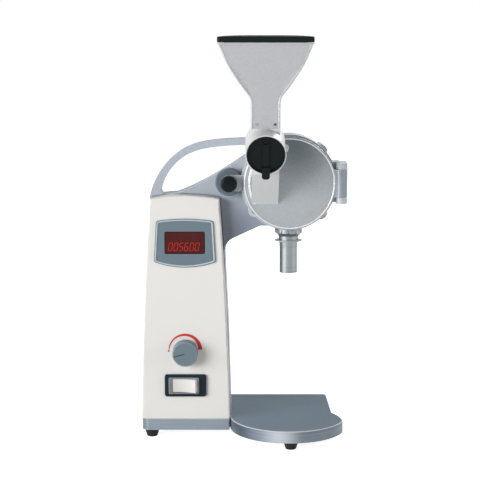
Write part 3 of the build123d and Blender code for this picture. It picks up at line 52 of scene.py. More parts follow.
# ------------------------ camera
# The photograph is taken from a little above, far enough away that the uprights stay nearly
# upright.  The camera stands where that view was taken, aimed slightly down at the mill.
scene = bpy.context.scene
camera_data = bpy.data.cameras.new("camera")
camera_data.sensor_width = 36.0
camera_data.lens = 102.0
camera_data.clip_start = 0.05
camera = bpy.data.objects.new("camera", camera_data)
outlet_low, outlet_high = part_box("outlet_tube")
outlet_x = (outlet_low.x + outlet_high.x) / 2
outlet_y = (outlet_low.y + outlet_high.y) / 2
CAMERA_SIDE = -0.0591
CAMERA_BACK = -1.642
CAMERA_HEIGHT = 0.4865
CAMERA_DIP = math.atan(200 / 1360)
camera.location = (outlet_x + CAMERA_SIDE, outlet_y + CAMERA_BACK, CAMERA_HEIGHT)
camera.rotation_euler = (math.pi / 2 - CAMERA_DIP, 0, 0)
scene.collection.objects.link(camera)
scene.camera = camera


# ------------------------ floor, light and view
# A pale paper floor and an even white room, one large soft lamp from the left, a weaker one
# from the right and one behind.  Past the mill the camera, gloss and glass see plain white.
scene.view_settings.view_transform = "Standard"


def split_by_ray(tree, for_light, for_sight, output):
    """Sends one shader to the rays that light the mill, and another to those that come from the
    camera, a reflection or through glass."""
    path = tree.nodes.new("ShaderNodeLightPath")
    seen = path.outputs["Is Camera Ray"]
    for name in ("Is Glossy Ray", "Is Transmission Ray"):
        either = tree.nodes.new("ShaderNodeMath")
        either.operation = "MAXIMUM"
        tree.links.new(seen, either.inputs[0])
        tree.links.new(path.outputs[name], either.inputs[1])
        seen = either.outputs[0]
    pick = tree.nodes.new("ShaderNodeMixShader")
    for source, target in zip((seen, for_light, for_sight), pick.inputs):
        tree.links.new(source, target)
    tree.links.new(pick.outputs[0], output)


ROOM_LIGHT = 0.17
world = bpy.data.worlds.new("studio")
scene.world = world
world.use_nodes = True
tree = world.node_tree
tree.nodes.clear()
walls = []
for colour, strength in (((0.95, 0.98, 1, 1), ROOM_LIGHT), ((1, 1, 1, 1), 1.0)):
    wall = tree.nodes.new("ShaderNodeBackground")
    wall.inputs["Color"].default_value = colour
    wall.inputs["Strength"].default_value = strength
    walls.append(wall.outputs[0])
split_by_ray(tree, *walls, tree.nodes.new("ShaderNodeOutputWorld").inputs["Surface"])


def area_lamp(name, spot, aim, size, watts):
    """A soft rectangular lamp at a spot, aimed at a point."""
    data = bpy.data.lights.new(name, "AREA")
    data.shape = "RECTANGLE"
    data.size, data.size_y = size
    data.energy = watts
    lamp = bpy.data.objects.new(name, data)
    lamp.location = spot
    lamp.rotation_euler = (Vector(aim) - Vector(spot)).to_track_quat("-Z", "Y").to_euler()
    scene.collection.objects.link(lamp)


area_lamp("key", (-2.6, -2.0, 0.7), (0, 0, 0.3), (2.3, 1.9), 127)
area_lamp("fill", (2.4, -0.9, 0.8), (0, 0, 0.25), (1.2, 1.6), 17)
area_lamp("rim", (1.1, 1.5, 1.5), (0, 0, 0.3), (1.4, 0.9), 26)

FLOOR_REACH = 8.0
floor_mesh = bpy.data.meshes.new("floor")
floor_mesh.from_pydata([(x * FLOOR_REACH, y * FLOOR_REACH, 0) for x, y in
                        ((-1, -1), (1, -1), (1, 1), (-1, 1))], [], [(0, 1, 2, 3)])
floor = bpy.data.objects.new("floor", floor_mesh)
scene.collection.objects.link(floor)
floor_paper = bpy.data.materials.new("floor_paper")
floor_paper.use_nodes = True
tree = floor_paper.node_tree
paper = tree.nodes["Principled BSDF"]
paper.inputs["Base Color"].default_value = (0.9, 0.9, 0.9, 1)
paper.inputs["Roughness"].default_value = 0.95
paper.inputs["Specular IOR Level"].default_value = 0.0
glow = tree.nodes.new("ShaderNodeEmission")
glow.inputs["Strength"].default_value = 0.9
lifted = tree.nodes.new("ShaderNodeAddShader")
tree.links.new(paper.outputs[0], lifted.inputs[0])
tree.links.new(glow.outputs[0], lifted.inputs[1])
split_by_ray(tree, paper.outputs[0], lifted.outputs[0],
             tree.nodes["Material Output"].inputs["Surface"])
floor_mesh.materials.append(floor_paper)


# ------------------------ base plate
# One flat aluminium casting, milled underneath and coated grey-blue: a round stand in front,
# a platform behind it and the foot of the column.  Its upper edge and the foot's end carry a
# painted highlight; its sides and the foot's front are darker and lighter copies of the coat
# with pale level streaks: painted shade, painted light and painted reflections.
def srgb(red, green, blue):
    """A colour given as it looks on a screen, 0 to 255, turned into linear light."""
    def linear(value):
        value = value / 255
        return value / 12.92 if value <= 0.04045 else ((value + 0.055) / 1.055) ** 2.4
    return (linear(red), linear(green), linear(blue), 1.0)


def new_group(name, sockets_in, sockets_out):
    """An empty shader node group with named inputs and outputs."""
    group = bpy.data.node_groups.new(name, "ShaderNodeTree")
    for label, kind, value in sockets_in:
        socket = group.interface.new_socket(label, in_out="INPUT", socket_type="NodeSocket" + kind)
        if value is not None:
            socket.default_value = value
    for label, kind in sockets_out:
        group.interface.new_socket(label, in_out="OUTPUT", socket_type="NodeSocket" + kind)
    return group, group.nodes.new("NodeGroupInput"), group.nodes.new("NodeGroupOutput")


def math_node(tree, operation, first, second, clamp=False):
    """A Math node whose inputs are sockets or numbers; gives its output."""
    node = tree.nodes.new("ShaderNodeMath")
    node.operation = operation
    node.use_clamp = clamp
    for socket, value in zip(node.inputs, (first, second)):
        if isinstance(value, (int, float)):
            socket.default_value = value
        else:
            tree.links.new(value, socket)
    return node.outputs[0]


def make_surface_group():
    """Node group: a colour that drifts towards a second tone in soft clouds and fine grain,
    with gloss that follows the clouds and a height that follows the grain."""
    group, given, result = new_group(
        "handled_surface",
        (("Vector", "Vector", None), ("Color", "Color", None), ("Tone", "Color", None),
         ("Cloud Scale", "Float", 14.0), ("Cloud", "Float", 0.4), ("Grain Scale", "Float", 1500.0),
         ("Grain", "Float", 0.2), ("Roughness", "Float", 0.4), ("Spread", "Float", 0.08)),
        (("Color", "Color"), ("Roughness", "Float"), ("Height", "Float")))
    cloud = group.nodes.new("ShaderNodeTexNoise")
    cloud.inputs["Detail"].default_value = 4.0
    grain = group.nodes.new("ShaderNodeTexNoise")
    grain.inputs["Detail"].default_value = 2.0
    link = group.links.new
    for noise, scale in ((cloud, "Cloud Scale"), (grain, "Grain Scale")):
        link(given.outputs["Vector"], noise.inputs["Vector"])
        link(given.outputs[scale], noise.inputs["Scale"])
    clouds = math_node(group, "MULTIPLY", cloud.outputs["Fac"], given.outputs["Cloud"])
    grains = math_node(group, "MULTIPLY", grain.outputs["Fac"], given.outputs["Grain"])
    blend = group.nodes.new("ShaderNodeMix")
    blend.data_type = "RGBA"
    link(math_node(group, "ADD", clouds, grains, clamp=True), blend.inputs["Factor"])
    link(given.outputs["Color"], blend.inputs["A"])
    link(given.outputs["Tone"], blend.inputs["B"])
    link(blend.outputs["Result"], result.inputs["Color"])
    rough = group.nodes.new("ShaderNodeMapRange")
    rough.inputs["From Min"].default_value = 0.3
    rough.inputs["From Max"].default_value = 0.7
    link(cloud.outputs["Fac"], rough.inputs["Value"])
    for side, operation in (("To Min", "SUBTRACT"), ("To Max", "ADD")):
        link(math_node(group, operation, given.outputs["Roughness"], given.outputs["Spread"]),
             rough.inputs[side])
    link(rough.outputs["Result"], result.inputs["Roughness"])
    link(grain.outputs["Fac"], result.inputs["Height"])
    return group


surface_group = make_surface_group()


def finish(name, colour, tone, cloud=0.4, cloud_scale=14.0, grain=0.2, grain_scale=1500.0,
           stretch=(1, 1, 1), rough=0.4, spread=0.06, relief=0.00002, metallic=0.0, gloss=0.3,
           turned_about=None):
    """A material whose colour, gloss and relief come from the shared surface group.  Colour
    and tone are given as they look on a screen.

    With turned_about = (centre, axis letter) the pattern depends only on the distance from that
    axis and the place along it, as the marks of a lathe do."""
    material = bpy.data.materials.new(name)
    material.use_nodes = True
    tree = material.node_tree
    link = tree.links.new
    shader = tree.nodes["Principled BSDF"]
    spots = tree.nodes.new("ShaderNodeTexCoord")
    mapping = tree.nodes.new("ShaderNodeMapping")
    mapping.inputs["Scale"].default_value = stretch
    link(spots.outputs["Object"], mapping.inputs["Vector"])
    vector = mapping.outputs["Vector"]
    if turned_about:
        centre, axis = turned_about
        mapping.inputs["Location"].default_value = [
            -value * scale for value, scale in zip(centre, stretch)]
        parts = tree.nodes.new("ShaderNodeSeparateXYZ")
        link(vector, parts.inputs[0])
        across = [parts.outputs[letter] for letter in "XYZ" if letter != axis]
        squares = [math_node(tree, "MULTIPLY", part, part) for part in across]
        radius = math_node(tree, "POWER", math_node(tree, "ADD", *squares), 0.5)
        joined = tree.nodes.new("ShaderNodeCombineXYZ")
        link(radius, joined.inputs["X"])
        link(parts.outputs[axis], joined.inputs["Y"])
        vector = joined.outputs[0]
    surface = tree.nodes.new("ShaderNodeGroup")
    surface.node_tree = surface_group
    link(vector, surface.inputs["Vector"])
    for key, value in (("Color", srgb(*colour)), ("Tone", srgb(*tone)), ("Cloud", cloud),
                       ("Cloud Scale", cloud_scale), ("Grain", grain),
                       ("Grain Scale", grain_scale), ("Roughness", rough), ("Spread", spread)):
        surface.inputs[key].default_value = value
    bump = tree.nodes.new("ShaderNodeBump")
    bump.inputs["Distance"].default_value = relief
    link(surface.outputs["Height"], bump.inputs["Height"])
    link(surface.outputs["Color"], shader.inputs["Base Color"])
    link(surface.outputs["Roughness"], shader.inputs["Roughness"])
    link(bump.outputs["Normal"], shader.inputs["Normal"])
    shader.inputs["Metallic"].default_value = metallic
    shader.inputs["Specular IOR Level"].default_value = gloss
    return material


body_of = {node: body for body, group in frame["record"]["behaviour"]["bodies"].items()
           for node in group}


def dress(material, *names):
    """Gives CAD nodes their finish."""
    for name in names:
        mesh = nodes[name].data
        mesh.materials.clear()
        mesh.materials.append(material)


SAME_SPOT = 2e-6        # metres, corners closer than this are one
FLAT = 0.8              # degrees, faces that turn by less are one
RUNS_BACK = 0.99        # an edge whose direction has this much front to back is a corner
CORNER_TURN = 0.5       # radians, where its faces turn by more than this


def eased(node, width, material, edge=None, steps=2, sharp=32, corner=None):
    """A CAD piece with its sharp edges rounded over by the given width in millimetres.

    The loose triangles are merged, flat ones joined, and a bevel runs along every edge that
    turns by more than the sharp angle; the rounded edge can have a finish of its own.  With
    corner = (radius, height) the corners seen from the front above that height are rounded."""
    mesh = nodes[node].data.copy()
    work = bmesh.new()
    work.from_mesh(mesh)
    bmesh.ops.remove_doubles(work, verts=work.verts, dist=SAME_SPOT)
    bmesh.ops.dissolve_limit(work, angle_limit=math.radians(FLAT), verts=work.verts,
                             edges=work.edges)
    if corner:
        radius, above = corner
        upper = [line for line in work.edges if len(line.link_faces) == 2
                 and min(vert.co.z for vert in line.verts) > above / 1000
                 and abs((line.verts[1].co - line.verts[0].co).normalized().y) > RUNS_BACK
                 and line.calc_face_angle() > CORNER_TURN]
        bmesh.ops.bevel(work, geom=upper, offset=radius / 1000, segments=8, profile=0.5,
                        affect="EDGES", clamp_overlap=True)
    for face in work.faces:
        face.material_index = 0
    work.to_mesh(mesh)
    work.free()
    mesh.materials.clear()
    mesh.materials.append(material)
    mesh.materials.append(edge or material)
    mesh.shade_smooth()
    mesh.set_sharp_from_angle(angle=math.radians(sharp))
    piece = bpy.data.objects.new(node + "_eased", mesh)
    scene.collection.objects.link(piece)
    bevel = piece.modifiers.new("rounding", "BEVEL")
    bevel.width = width / 1000
    bevel.segments = steps
    bevel.limit_method = "ANGLE"
    bevel.angle_limit = math.radians(sharp)
    # The rounded edges take the second finish; where it is a paler copy, it is a painted
    # highlight.
    bevel.material = 1
    shading = piece.modifiers.new("even_shading", "WEIGHTED_NORMAL")
    shading.weight = 100
    shading.keep_sharp = True
    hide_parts(node)
    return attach(piece, body_of[node])


base_coat = finish("base_coat", (130, 144, 156), (106, 121, 133), rough=0.45, grain=0.6,
                   grain_scale=620.0, relief=0.00004, gloss=0.03)
# A paler copy of the coat on the rounded edges, the rim's chamfer and the foot's end: a painted
# highlight.
base_edge_highlight = finish("base_edge_highlight", (222, 226, 229), (176, 184, 190), rough=0.3, cloud=0.6,
                     cloud_scale=40.0, grain_scale=900.0)
# The upright sides: a darker copy of the coat, painted shade, with pale level streaks, painted
# reflections.
base_side_painted_shading = finish("base_side_painted_shading", (84, 97, 109), (160, 170, 180), cloud=0.0, grain=0.6,
                   grain_scale=620.0, stretch=(0.02, 0.02, 1.0), spread=0.05, relief=0.0002,
                   metallic=0.2)
# The foot's front: a lighter copy of the coat with pale level streaks, painted light and painted
# reflections.
foot_band_painted_lit = finish("foot_band_painted_lit", (122, 134, 147), (178, 187, 196), cloud=0.0, grain=0.5,
                   grain_scale=620.0, stretch=(0.02, 0.02, 1.0), relief=0.0001, metallic=0.2)
base_plate = eased("base_plate", 1.0, base_coat, base_edge_highlight, steps=3)
for material in (base_side_painted_shading, foot_band_painted_lit):
    base_plate.data.materials.append(material)
normals = np.array([polygon.normal for polygon in base_plate.data.polygons])
middles = np.array([polygon.center for polygon in base_plate.data.polygons])
FOOT_RIGHT = outlet_x - 0.072       # where the column's foot ends beside the stand
UPRIGHT = 0.3                       # greatest upward part of an upright face's normal
LEVEL = 0.95                        # least upward part of a level face's normal
upright = np.abs(normals[:, 2]) < UPRIGHT
# The foot's end faces right, close to where it ends, in front of the platform; it gets the
# painted highlight.
foot_end = (upright & (normals[:, 0] > 0.25) & (np.abs(middles[:, 0] - FOOT_RIGHT) < 0.005)
            & (middles[:, 1] < outlet_y + 0.002))
foot_front = (normals[:, 1] < -0.9) & (middles[:, 0] < FOOT_RIGHT)
rim = (normals[:, 2] > UPRIGHT) & (normals[:, 2] < LEVEL)
EDGE_HIGHLIGHT, SHADED_SIDE, LIT_BAND = 1, 2, 3        # numbers of the materials, after the coat
# Painted light on the plate: the rim and the foot's end take the highlight copy of the coat, the
# foot's front the lit copy and the other upright faces the shaded copy.
base_plate.data.polygons.foreach_set("material_index", np.select(
    [foot_end | rim, foot_front, upright], [EDGE_HIGHLIGHT, LIT_BAND, SHADED_SIDE], 0))


def make_patch_group():
    """Node group: a mask that falls smoothly from 1 at a centre to 0 at a given reach."""
    group, given, result = new_group(
        "soft_patch",
        (("Vector", "Vector", None), ("Centre", "Vector", None), ("Reach", "Float", 0.05)),
        (("Mask", "Float"),))
    away = group.nodes.new("ShaderNodeVectorMath")
    away.operation = "DISTANCE"
    fall = group.nodes.new("ShaderNodeMapRange")
    fall.interpolation_type = "SMOOTHSTEP"
    fall.inputs["To Min"].default_value = 1.0
    fall.inputs["To Max"].default_value = 0.0
    group.links.new(given.outputs["Vector"], away.inputs[0])
    group.links.new(given.outputs["Centre"], away.inputs[1])
    group.links.new(away.outputs["Value"], fall.inputs["Value"])
    group.links.new(given.outputs["Reach"], fall.inputs["From Max"])
    group.links.new(fall.outputs["Result"], result.inputs["Mask"])
    return group


patch_group = make_patch_group()


def place(x, y, z):
    """Points given in millimetres from the outlet's axis and the floor, in metres."""
    x, y, z = np.broadcast_arrays(np.asarray(x, float), y, z)
    return np.stack((outlet_x + x / 1000, outlet_y + y / 1000, z / 1000), axis=-1)


def painted_light_patch(material, centre, reach, tint, strength, blend="MULTIPLY"):
    """Tints a finish about a place, given as for place, out to a reach in millimetres: painted
    shade where it darkens, a painted highlight where it makes the finish paler."""
    tree = material.node_tree
    base_colour = tree.nodes["Principled BSDF"].inputs["Base Color"]
    patch = tree.nodes.new("ShaderNodeGroup")
    patch.node_tree = patch_group
    patch.inputs["Centre"].default_value = place(*centre).tolist()
    patch.inputs["Reach"].default_value = reach / 1000
    tree.links.new(tree.nodes["Texture Coordinate"].outputs["Object"], patch.inputs["Vector"])
    mix = tree.nodes.new("ShaderNodeMix")
    mix.data_type = "RGBA"
    mix.blend_type = blend
    mix.inputs["B"].default_value = srgb(*tint)
    share = math_node(tree, "MULTIPLY", patch.outputs["Mask"], strength)
    tree.links.new(share, mix.inputs["Factor"])
    tree.links.new(base_colour.links[0].from_socket, mix.inputs["A"])
    tree.links.new(mix.outputs["Result"], base_colour)


# Painted highlight: the stand's edge is paler in front.  Painted shade: it is darker beside the
# column's foot.
painted_light_patch(base_side_painted_shading, (-11.0, -69.0, 17.0), 30.0, (176, 180, 184), 0.85, "SCREEN")
painted_light_patch(base_side_painted_shading, (-60.0, -38.0, 17.0), 36.0, (150, 160, 170), 1.0)


# ------------------------ feet
# Four black rubber cones, each held from below by a steel screw with a hexagon socket.
foot_rubber = finish("foot_rubber", (24, 25, 27), (46, 47, 49), rough=0.6, grain=0.4,
                     grain_scale=2500.0, relief=0.00005, gloss=0.15)
eased("feet", 0.8, foot_rubber)
screw_steel = finish("screw_steel", (186, 188, 190), (146, 149, 152), rough=0.3, cloud_scale=200.0,
                     grain_scale=3000.0, metallic=1.0)


def shell(rings, loop=False):
    """Points and faces of a surface carried through a stack of rings (ring, point, xyz): one
    quad between each pair of neighbours.  The stack is closed by a flat face at both ends, or
    with loop by joining its last ring to its first.  Rings run counter-clockwise seen from the
    end that the stack goes to, so that faces point outwards."""
    rings = np.asarray(rings, float)
    count, around = rings.shape[:2]
    index = np.arange(count * around).reshape(count, around)
    low, high = (index, np.roll(index, -1, axis=0)) if loop else (index[:-1], index[1:])
    quads = np.stack((low, np.roll(low, -1, axis=1), np.roll(high, -1, axis=1), high), axis=-1)
    faces = quads.reshape(-1, 4).tolist()
    if not loop:
        faces += [index[0][::-1].tolist(), index[-1].tolist()]
    return rings.reshape(-1, 3), faces


def turned(profile, base, axis, around=36, socket_from=None, teeth=None):
    """Rings of a turned form: each (radius, distance) of the profile, in millimetres, is a
    circle about the axis through the base point.  From ring socket_from on the rings are
    hexagons, radius times cos 30 over cos of the angle from the nearest flat's middle.  With
    teeth = (count, depths) each ring has as many rounded valleys, depth times cosine squared."""
    axis = np.asarray(axis, float) / np.linalg.norm(axis)
    side = np.cross(axis, (0, 0, 1) if abs(axis[2]) < 0.9 else (1, 0, 0))
    side /= np.linalg.norm(side)
    other = np.cross(axis, side)
    angle = 2 * math.pi * np.arange(around) / around
    circle = np.cos(angle)[:, None] * side + np.sin(angle)[:, None] * other
    radius, distance = np.array(profile, float).T / 1000
    reach = np.repeat(radius[:, None], around, axis=1)
    if socket_from is not None:
        flat = math.cos(math.pi / 6) / np.cos(np.mod(angle, math.pi / 3) - math.pi / 6)
        reach[socket_from:] *= flat
    if teeth:
        valley = np.maximum(np.cos(teeth[0] * angle), 0) ** 2
        reach -= np.array(teeth[1])[:, None] / 1000 * valley
    return np.asarray(base) + reach[..., None] * circle + distance[:, None, None] * axis


def make_piece(name, shells, like, *materials, picks=None, sharp=32, replaces=False):
    """One mesh object from several shells of points and faces; picks gives each shell's
    material.  It belongs to the body of the CAD node named in like, and stands for it where
    replaces is set."""
    points, faces, chosen, start = [], [], [], 0
    for number, (corners, polygons) in enumerate(shells):
        points.append(corners)
        faces += [[start + corner for corner in polygon] for polygon in polygons]
        chosen += [picks[number] if picks else 0] * len(polygons)
        start += len(corners)
    mesh = bpy.data.meshes.new(name)
    mesh.from_pydata(np.concatenate(points).tolist(), [], faces)
    mesh.polygons.foreach_set("material_index", chosen)
    for material in materials:
        mesh.materials.append(material)
    mesh.shade_smooth()
    mesh.set_sharp_from_angle(angle=math.radians(sharp))
    piece = bpy.data.objects.new(name, mesh)
    scene.collection.objects.link(piece)
    if replaces:
        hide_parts(like)
    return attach(piece, body_of[like])


def socket_screws(name, node, places, axis, shank_r, shank, head_r, head):
    """Cap screws with a hexagon socket.  Places are the seats under the heads, the axis points
    from the shank to the head, and shank and head are lengths."""
    ease, socket_r = 0.4, 0.5 * head_r
    profile = ((shank_r - ease, -shank), (shank_r, ease - shank), (shank_r, 0), (head_r, 0),
               (head_r, head - ease), (head_r - ease, head), (0.56 * head_r, head),
               (socket_r, head - ease / 2), (socket_r, 0.35 * head), (0.02, 0.3 * head))
    shells = [shell(turned(profile, place(*spot), axis, socket_from=6)) for spot in places]
    return make_piece(name, shells, node, screw_steel, replaces=True)


# ------------------------ cast frame
# Column shell, arm, lifting handle and chamber flange in one aluminium casting with a pale
# grey-blue satin coat over a slightly uneven skin.  Its edges are rounded and carry a painted
# highlight in a paler copy of the coat.
casting_coat = finish("casting_coat", (184, 190, 199), (168, 176, 187), rough=0.44, cloud=0.5,
                      grain_scale=700.0, relief=0.00005, gloss=0.1)
# A paler copy of the coat on the rounded edges: a painted highlight.
casting_edge_highlight = finish("casting_edge_highlight", (232, 235, 237), (206, 211, 216), rough=0.34, cloud=0.5,
                      cloud_scale=30.0, grain_scale=700.0)
# Painted shade: the arm is darker where it leaves the column, in the shadow of the cover, and
# under the chamber.
painted_light_patch(casting_coat, (-66.0, 4.0, 248.0), 62.0, (120, 134, 148), 0.6)
painted_light_patch(casting_coat, (-20.0, 4.0, 275.0), 75.0, (206, 214, 222), 0.6)
eased("cast_frame", 1.0, casting_coat, casting_edge_highlight, steps=3)
boss_coat = finish("boss_coat", (96, 110, 121), (84, 98, 109), grain_scale=900.0, gloss=0.15)
# A paler copy on the rounded edges: a painted highlight.
boss_edge_highlight = finish("boss_edge_highlight", (150, 160, 168), (120, 132, 142), rough=0.3, grain_scale=900.0)
eased("latch_boss", 0.4, boss_coat, boss_edge_highlight)


# ------------------------ front and rear cover
# The front of the column is a warm white moulded shell with soft edges and a fine matt skin.
# The back is closed by a coated sheet with air slots and four cap screws.
COLUMN_MIDDLE = -126.0
COVER_FRONT = -13.0
COVER_SHOULDER = 285.0      # above this its corners are rounded in the front view
REAR_SEAT = 103.0           # where the heads of the rear cover's screws seat
REAR_ROWS = ((48.6, 38.3), (42.4, 250.0))   # half spacing and height of each row of screws
cover_plastic = finish("cover_plastic", (232, 230, 226), (224, 222, 217), rough=0.46, cloud=0.6,
                       cloud_scale=8.0, grain_scale=1800.0, relief=0.00001, gloss=0.15)
eased("front_cover", 0.9, cover_plastic, steps=3, corner=(5.0, COVER_SHOULDER))
eased("rear_cover", 0.3, base_coat, boss_edge_highlight)
cover_screws = [(COLUMN_MIDDLE + side * half, REAR_SEAT, height)
                for half, height in REAR_ROWS for side in (-1, 1)]
socket_screws("cover_cap_screws", "rear_cover_screws", cover_screws, (0, 1, 0),
              shank_r=1.45, shank=13.0, head_r=3.0, head=1.8)


# ------------------------ display
# A satin grey-blue moulded panel with a pale raised border, a dark red filter window and six
# slanted seven-segment figures glowing behind it.
panel_plastic = finish("panel_plastic", (108, 124, 134), (98, 114, 124), rough=0.42,
                       cloud_scale=10.0, grain_scale=1800.0, relief=0.00001)
panel_trim = finish("panel_trim", (202, 210, 214), (186, 195, 200), rough=0.3, grain_scale=2400.0)
eased("display_bezel", 0.25, panel_plastic)
PANEL_HEIGHT = 243.5    # of its middle
PANEL_TURN = 3.4        # radius of the panel's corners
PANEL_HALF = 36.19      # half its width at the middle
PANEL_LEAN = 3.0 / 50.0     # its sides draw in with height
PANEL_RAYS = 240
PANEL_FAR = 60.0        # past the outline on every ray
HALVINGS = 30
# Upper and lower edge as arcs: half width, height of the corners, height of the crown.
PANEL_ARCS = ((34.6, 26.7, 29.5), (37.6, -23.3, -30.1))
# The border across its width: inset from the outline, and depth behind the panel's front.
BORDER = ((1.0, 0.1), (1.1, -0.16), (1.4, -0.28), (1.9, -0.28), (2.2, -0.1), (2.5, 0.75),
          (1.6, 0.8))


def circle_inside(x, z, half, corner_z, crown_z):
    """How far a point lies inside the arc through the two corners and the crown between them:
    radius minus the distance from the arc's centre, the radius being (half squared + rise
    squared) over twice the rise."""
    rise = abs(crown_z - corner_z)
    radius = (half ** 2 + rise ** 2) / (2 * rise)
    centre = crown_z - math.copysign(radius, crown_z - corner_z)
    return radius - np.hypot(x, z - centre)


def panel_ring(inset, around=PANEL_RAYS):
    """The panel's outline drawn in by inset.  Along each ray from the middle the point is found
    by halving where the rounded inside distance equals inset: the corner radius minus the root
    of the summed squares of what each side's distance lacks from that radius."""
    turn = 2 * math.pi * np.arange(around) / around
    low, high = np.zeros(around), np.full(around, PANEL_FAR)
    for _ in range(HALVINGS):
        reach = (low + high) / 2
        x, z = reach * np.cos(turn), reach * np.sin(turn)
        sides = (PANEL_HALF - PANEL_LEAN * z - np.abs(x)) / math.hypot(1, PANEL_LEAN)
        gaps = [circle_inside(x, z, *arc) for arc in PANEL_ARCS] + [sides]
        lack = np.sqrt(sum(np.maximum(PANEL_TURN - gap, 0) ** 2 for gap in gaps))
        inside = PANEL_TURN - lack > inset
        low, high = np.where(inside, reach, low), np.where(inside, high, reach)
    return COLUMN_MIDDLE + low * np.cos(turn), PANEL_HEIGHT + low * np.sin(turn)


def front_of(node):
    """Where the front of a CAD node lies, in millimetres from the outlet's axis."""
    return (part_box(node)[0].y - outlet_y) * 1000


border_rings = []
for inset, deep in BORDER:
    ring_x, ring_z = panel_ring(inset)
    border_rings.append(place(ring_x, front_of("display_bezel") + deep, ring_z))
make_piece("display_border", [shell(np.stack(border_rings), loop=True)], "display_bezel",
           panel_trim)
window_filter = finish("window_filter", (92, 28, 24), (58, 14, 13), rough=0.16, spread=0.02,
                       cloud=0.9, cloud_scale=30.0, relief=0.0, gloss=0.14)
window_rim = finish("window_rim", (40, 12, 13), (30, 10, 10), rough=0.3, relief=0.0, gloss=0.1)
eased("display_window", 0.7, window_filter, window_rim, steps=3, corner=(2.4, 200.0))

figure_glow = bpy.data.materials.new("figure_glow")
figure_glow.use_nodes = True
glow_shader = figure_glow.node_tree.nodes["Principled BSDF"]
glow_shader.inputs["Base Color"].default_value = srgb(170, 30, 28)
glow_shader.inputs["Roughness"].default_value = 0.5
glow_shader.inputs["Emission Color"].default_value = srgb(225, 52, 46)
glow_shader.inputs["Emission Strength"].default_value = 0.36
glow_shader.inputs["Specular IOR Level"].default_value = 0.1
FIGURES = "005600"
FIGURE_LEFT = -146.2
FIGURE_PITCH = 6.45
FIGURE_W = 4.2
FIGURE_H = 9.2
FIGURE_LOW = 234.1
FIGURE_LEAN = math.tan(math.radians(10))
FIGURE_FRONT = -13.45
FIGURE_THICK = 0.2
BAR_HALF = 0.34         # half the width of a bar
BAR_TIP = 0.4 * BAR_HALF        # from the corner to the bar's point
BAR_NECK = 1.6 * BAR_HALF       # and to where it has its full width
# Each bar of a figure: its two ends as shares of width and height.
BARS = {"a": ((0, 1), (1, 1)), "b": ((1, 1), (1, 0.5)), "c": ((1, 0.5), (1, 0)),
        "d": ((0, 0), (1, 0)), "e": ((0, 0.5), (0, 0)), "f": ((0, 1), (0, 0.5)),
        "g": ((0, 0.5), (1, 0.5))}
LIT = {"0": "abcdef", "5": "afgcd", "6": "afgcde"}


def figure_bar(left, bar):
    """A six-sided lit bar: from end to end of its line, pointed at both ends, leaned over with
    height, and given a small thickness towards the window."""
    ends = np.array(BARS[bar]) * (FIGURE_W, FIGURE_H)
    along = (ends[1] - ends[0]) / np.linalg.norm(ends[1] - ends[0])
    across = np.array((-along[1], along[0])) * BAR_HALF
    inner = (ends[0] + along * BAR_NECK, ends[1] - along * BAR_NECK)
    flat = np.array((ends[0] + along * BAR_TIP, inner[0] - across, inner[1] - across,
                     ends[1] - along * BAR_TIP, inner[1] + across, inner[0] + across))
    x = left + flat[:, 0] + flat[:, 1] * FIGURE_LEAN
    z = FIGURE_LOW + flat[:, 1]
    back = FIGURE_FRONT + FIGURE_THICK
    return shell(np.stack((place(x, back, z), place(x, FIGURE_FRONT, z))))


make_piece("display_figures", [figure_bar(FIGURE_LEFT + number * FIGURE_PITCH, bar)
                               for number, figure in enumerate(FIGURES) for bar in LIT[figure]],
           "display_module", figure_glow)


# ------------------------ speed control
# A grey-blue moulded knob with a dark pointer line, and round it a printed red wedge that
# grows with the speed, starting from a dot.
KNOB_HEIGHT = 108.4
POINTER_TURN = math.radians(194.0)
POINTER_REACH = (0.6, 13.0)     # from the knob's axis
POINTER_HALF = 0.42
POINTER_DEEP = (0.6, 0.05)      # its back and front, behind the knob's front
eased("speed_knob", 0.5, panel_plastic, boss_edge_highlight)
pointer_dark = finish("pointer_dark", (38, 44, 48), (50, 56, 60), rough=0.5)
along = np.array((math.cos(POINTER_TURN), math.sin(POINTER_TURN)))
across = np.array((-along[1], along[0])) * POINTER_HALF
near, far = (along * reach for reach in POINTER_REACH)
line_x, line_z = np.array((near - across, far - across, far + across, near + across)).T
make_piece("knob_pointer", [shell(np.stack([
    place(COLUMN_MIDDLE + line_x, front_of("speed_knob") + deep, KNOB_HEIGHT + line_z)
    for deep in POINTER_DEEP]))], "speed_knob", pointer_dark)

dial_ink = finish("dial_ink", (200, 58, 48), (186, 50, 42), rough=0.45, grain_scale=2400.0)
DIAL_HEIGHT = 110.6
DIAL_OUTER = 20.6
DIAL_TURN = (178.0, 2.0)        # where the wedge begins and ends, in degrees
DIAL_WIDTH = (1.1, 4.9)         # its width there
INK_BACK, INK_FRONT = 0.1, -0.06        # behind the cover's front
DOT = (DIAL_OUTER - 0.2, 1.0)   # left of the dial's middle, and below it
DOT_R = 1.2


def dial_wedge(around=72):
    """A flat band round the dial, from one side over the top to the other: its outer radius is
    constant and its width grows evenly with the angle."""
    share = np.linspace(0, 1, around)
    turn = np.radians(DIAL_TURN[0] + (DIAL_TURN[1] - DIAL_TURN[0]) * share)
    inner = DIAL_OUTER - DIAL_WIDTH[0] - (DIAL_WIDTH[1] - DIAL_WIDTH[0]) * share
    rings = []
    for radius, deep in ((DIAL_OUTER, INK_BACK), (DIAL_OUTER, INK_FRONT),
                         (inner, INK_FRONT), (inner, INK_BACK)):
        rings.append(place(COLUMN_MIDDLE + radius * np.cos(turn), COVER_FRONT + deep,
                           DIAL_HEIGHT + radius * np.sin(turn)))
    return shell(np.stack(rings, axis=1)[::-1])


dot_base = place(COLUMN_MIDDLE - DOT[0], COVER_FRONT + INK_BACK, DIAL_HEIGHT - DOT[1])
dot_rings = turned(((DOT_R, 0), (DOT_R, INK_BACK - INK_FRONT)), dot_base, (0, -1, 0), 20)
make_piece("dial_scale", [dial_wedge(), shell(dot_rings)], "front_cover", dial_ink)


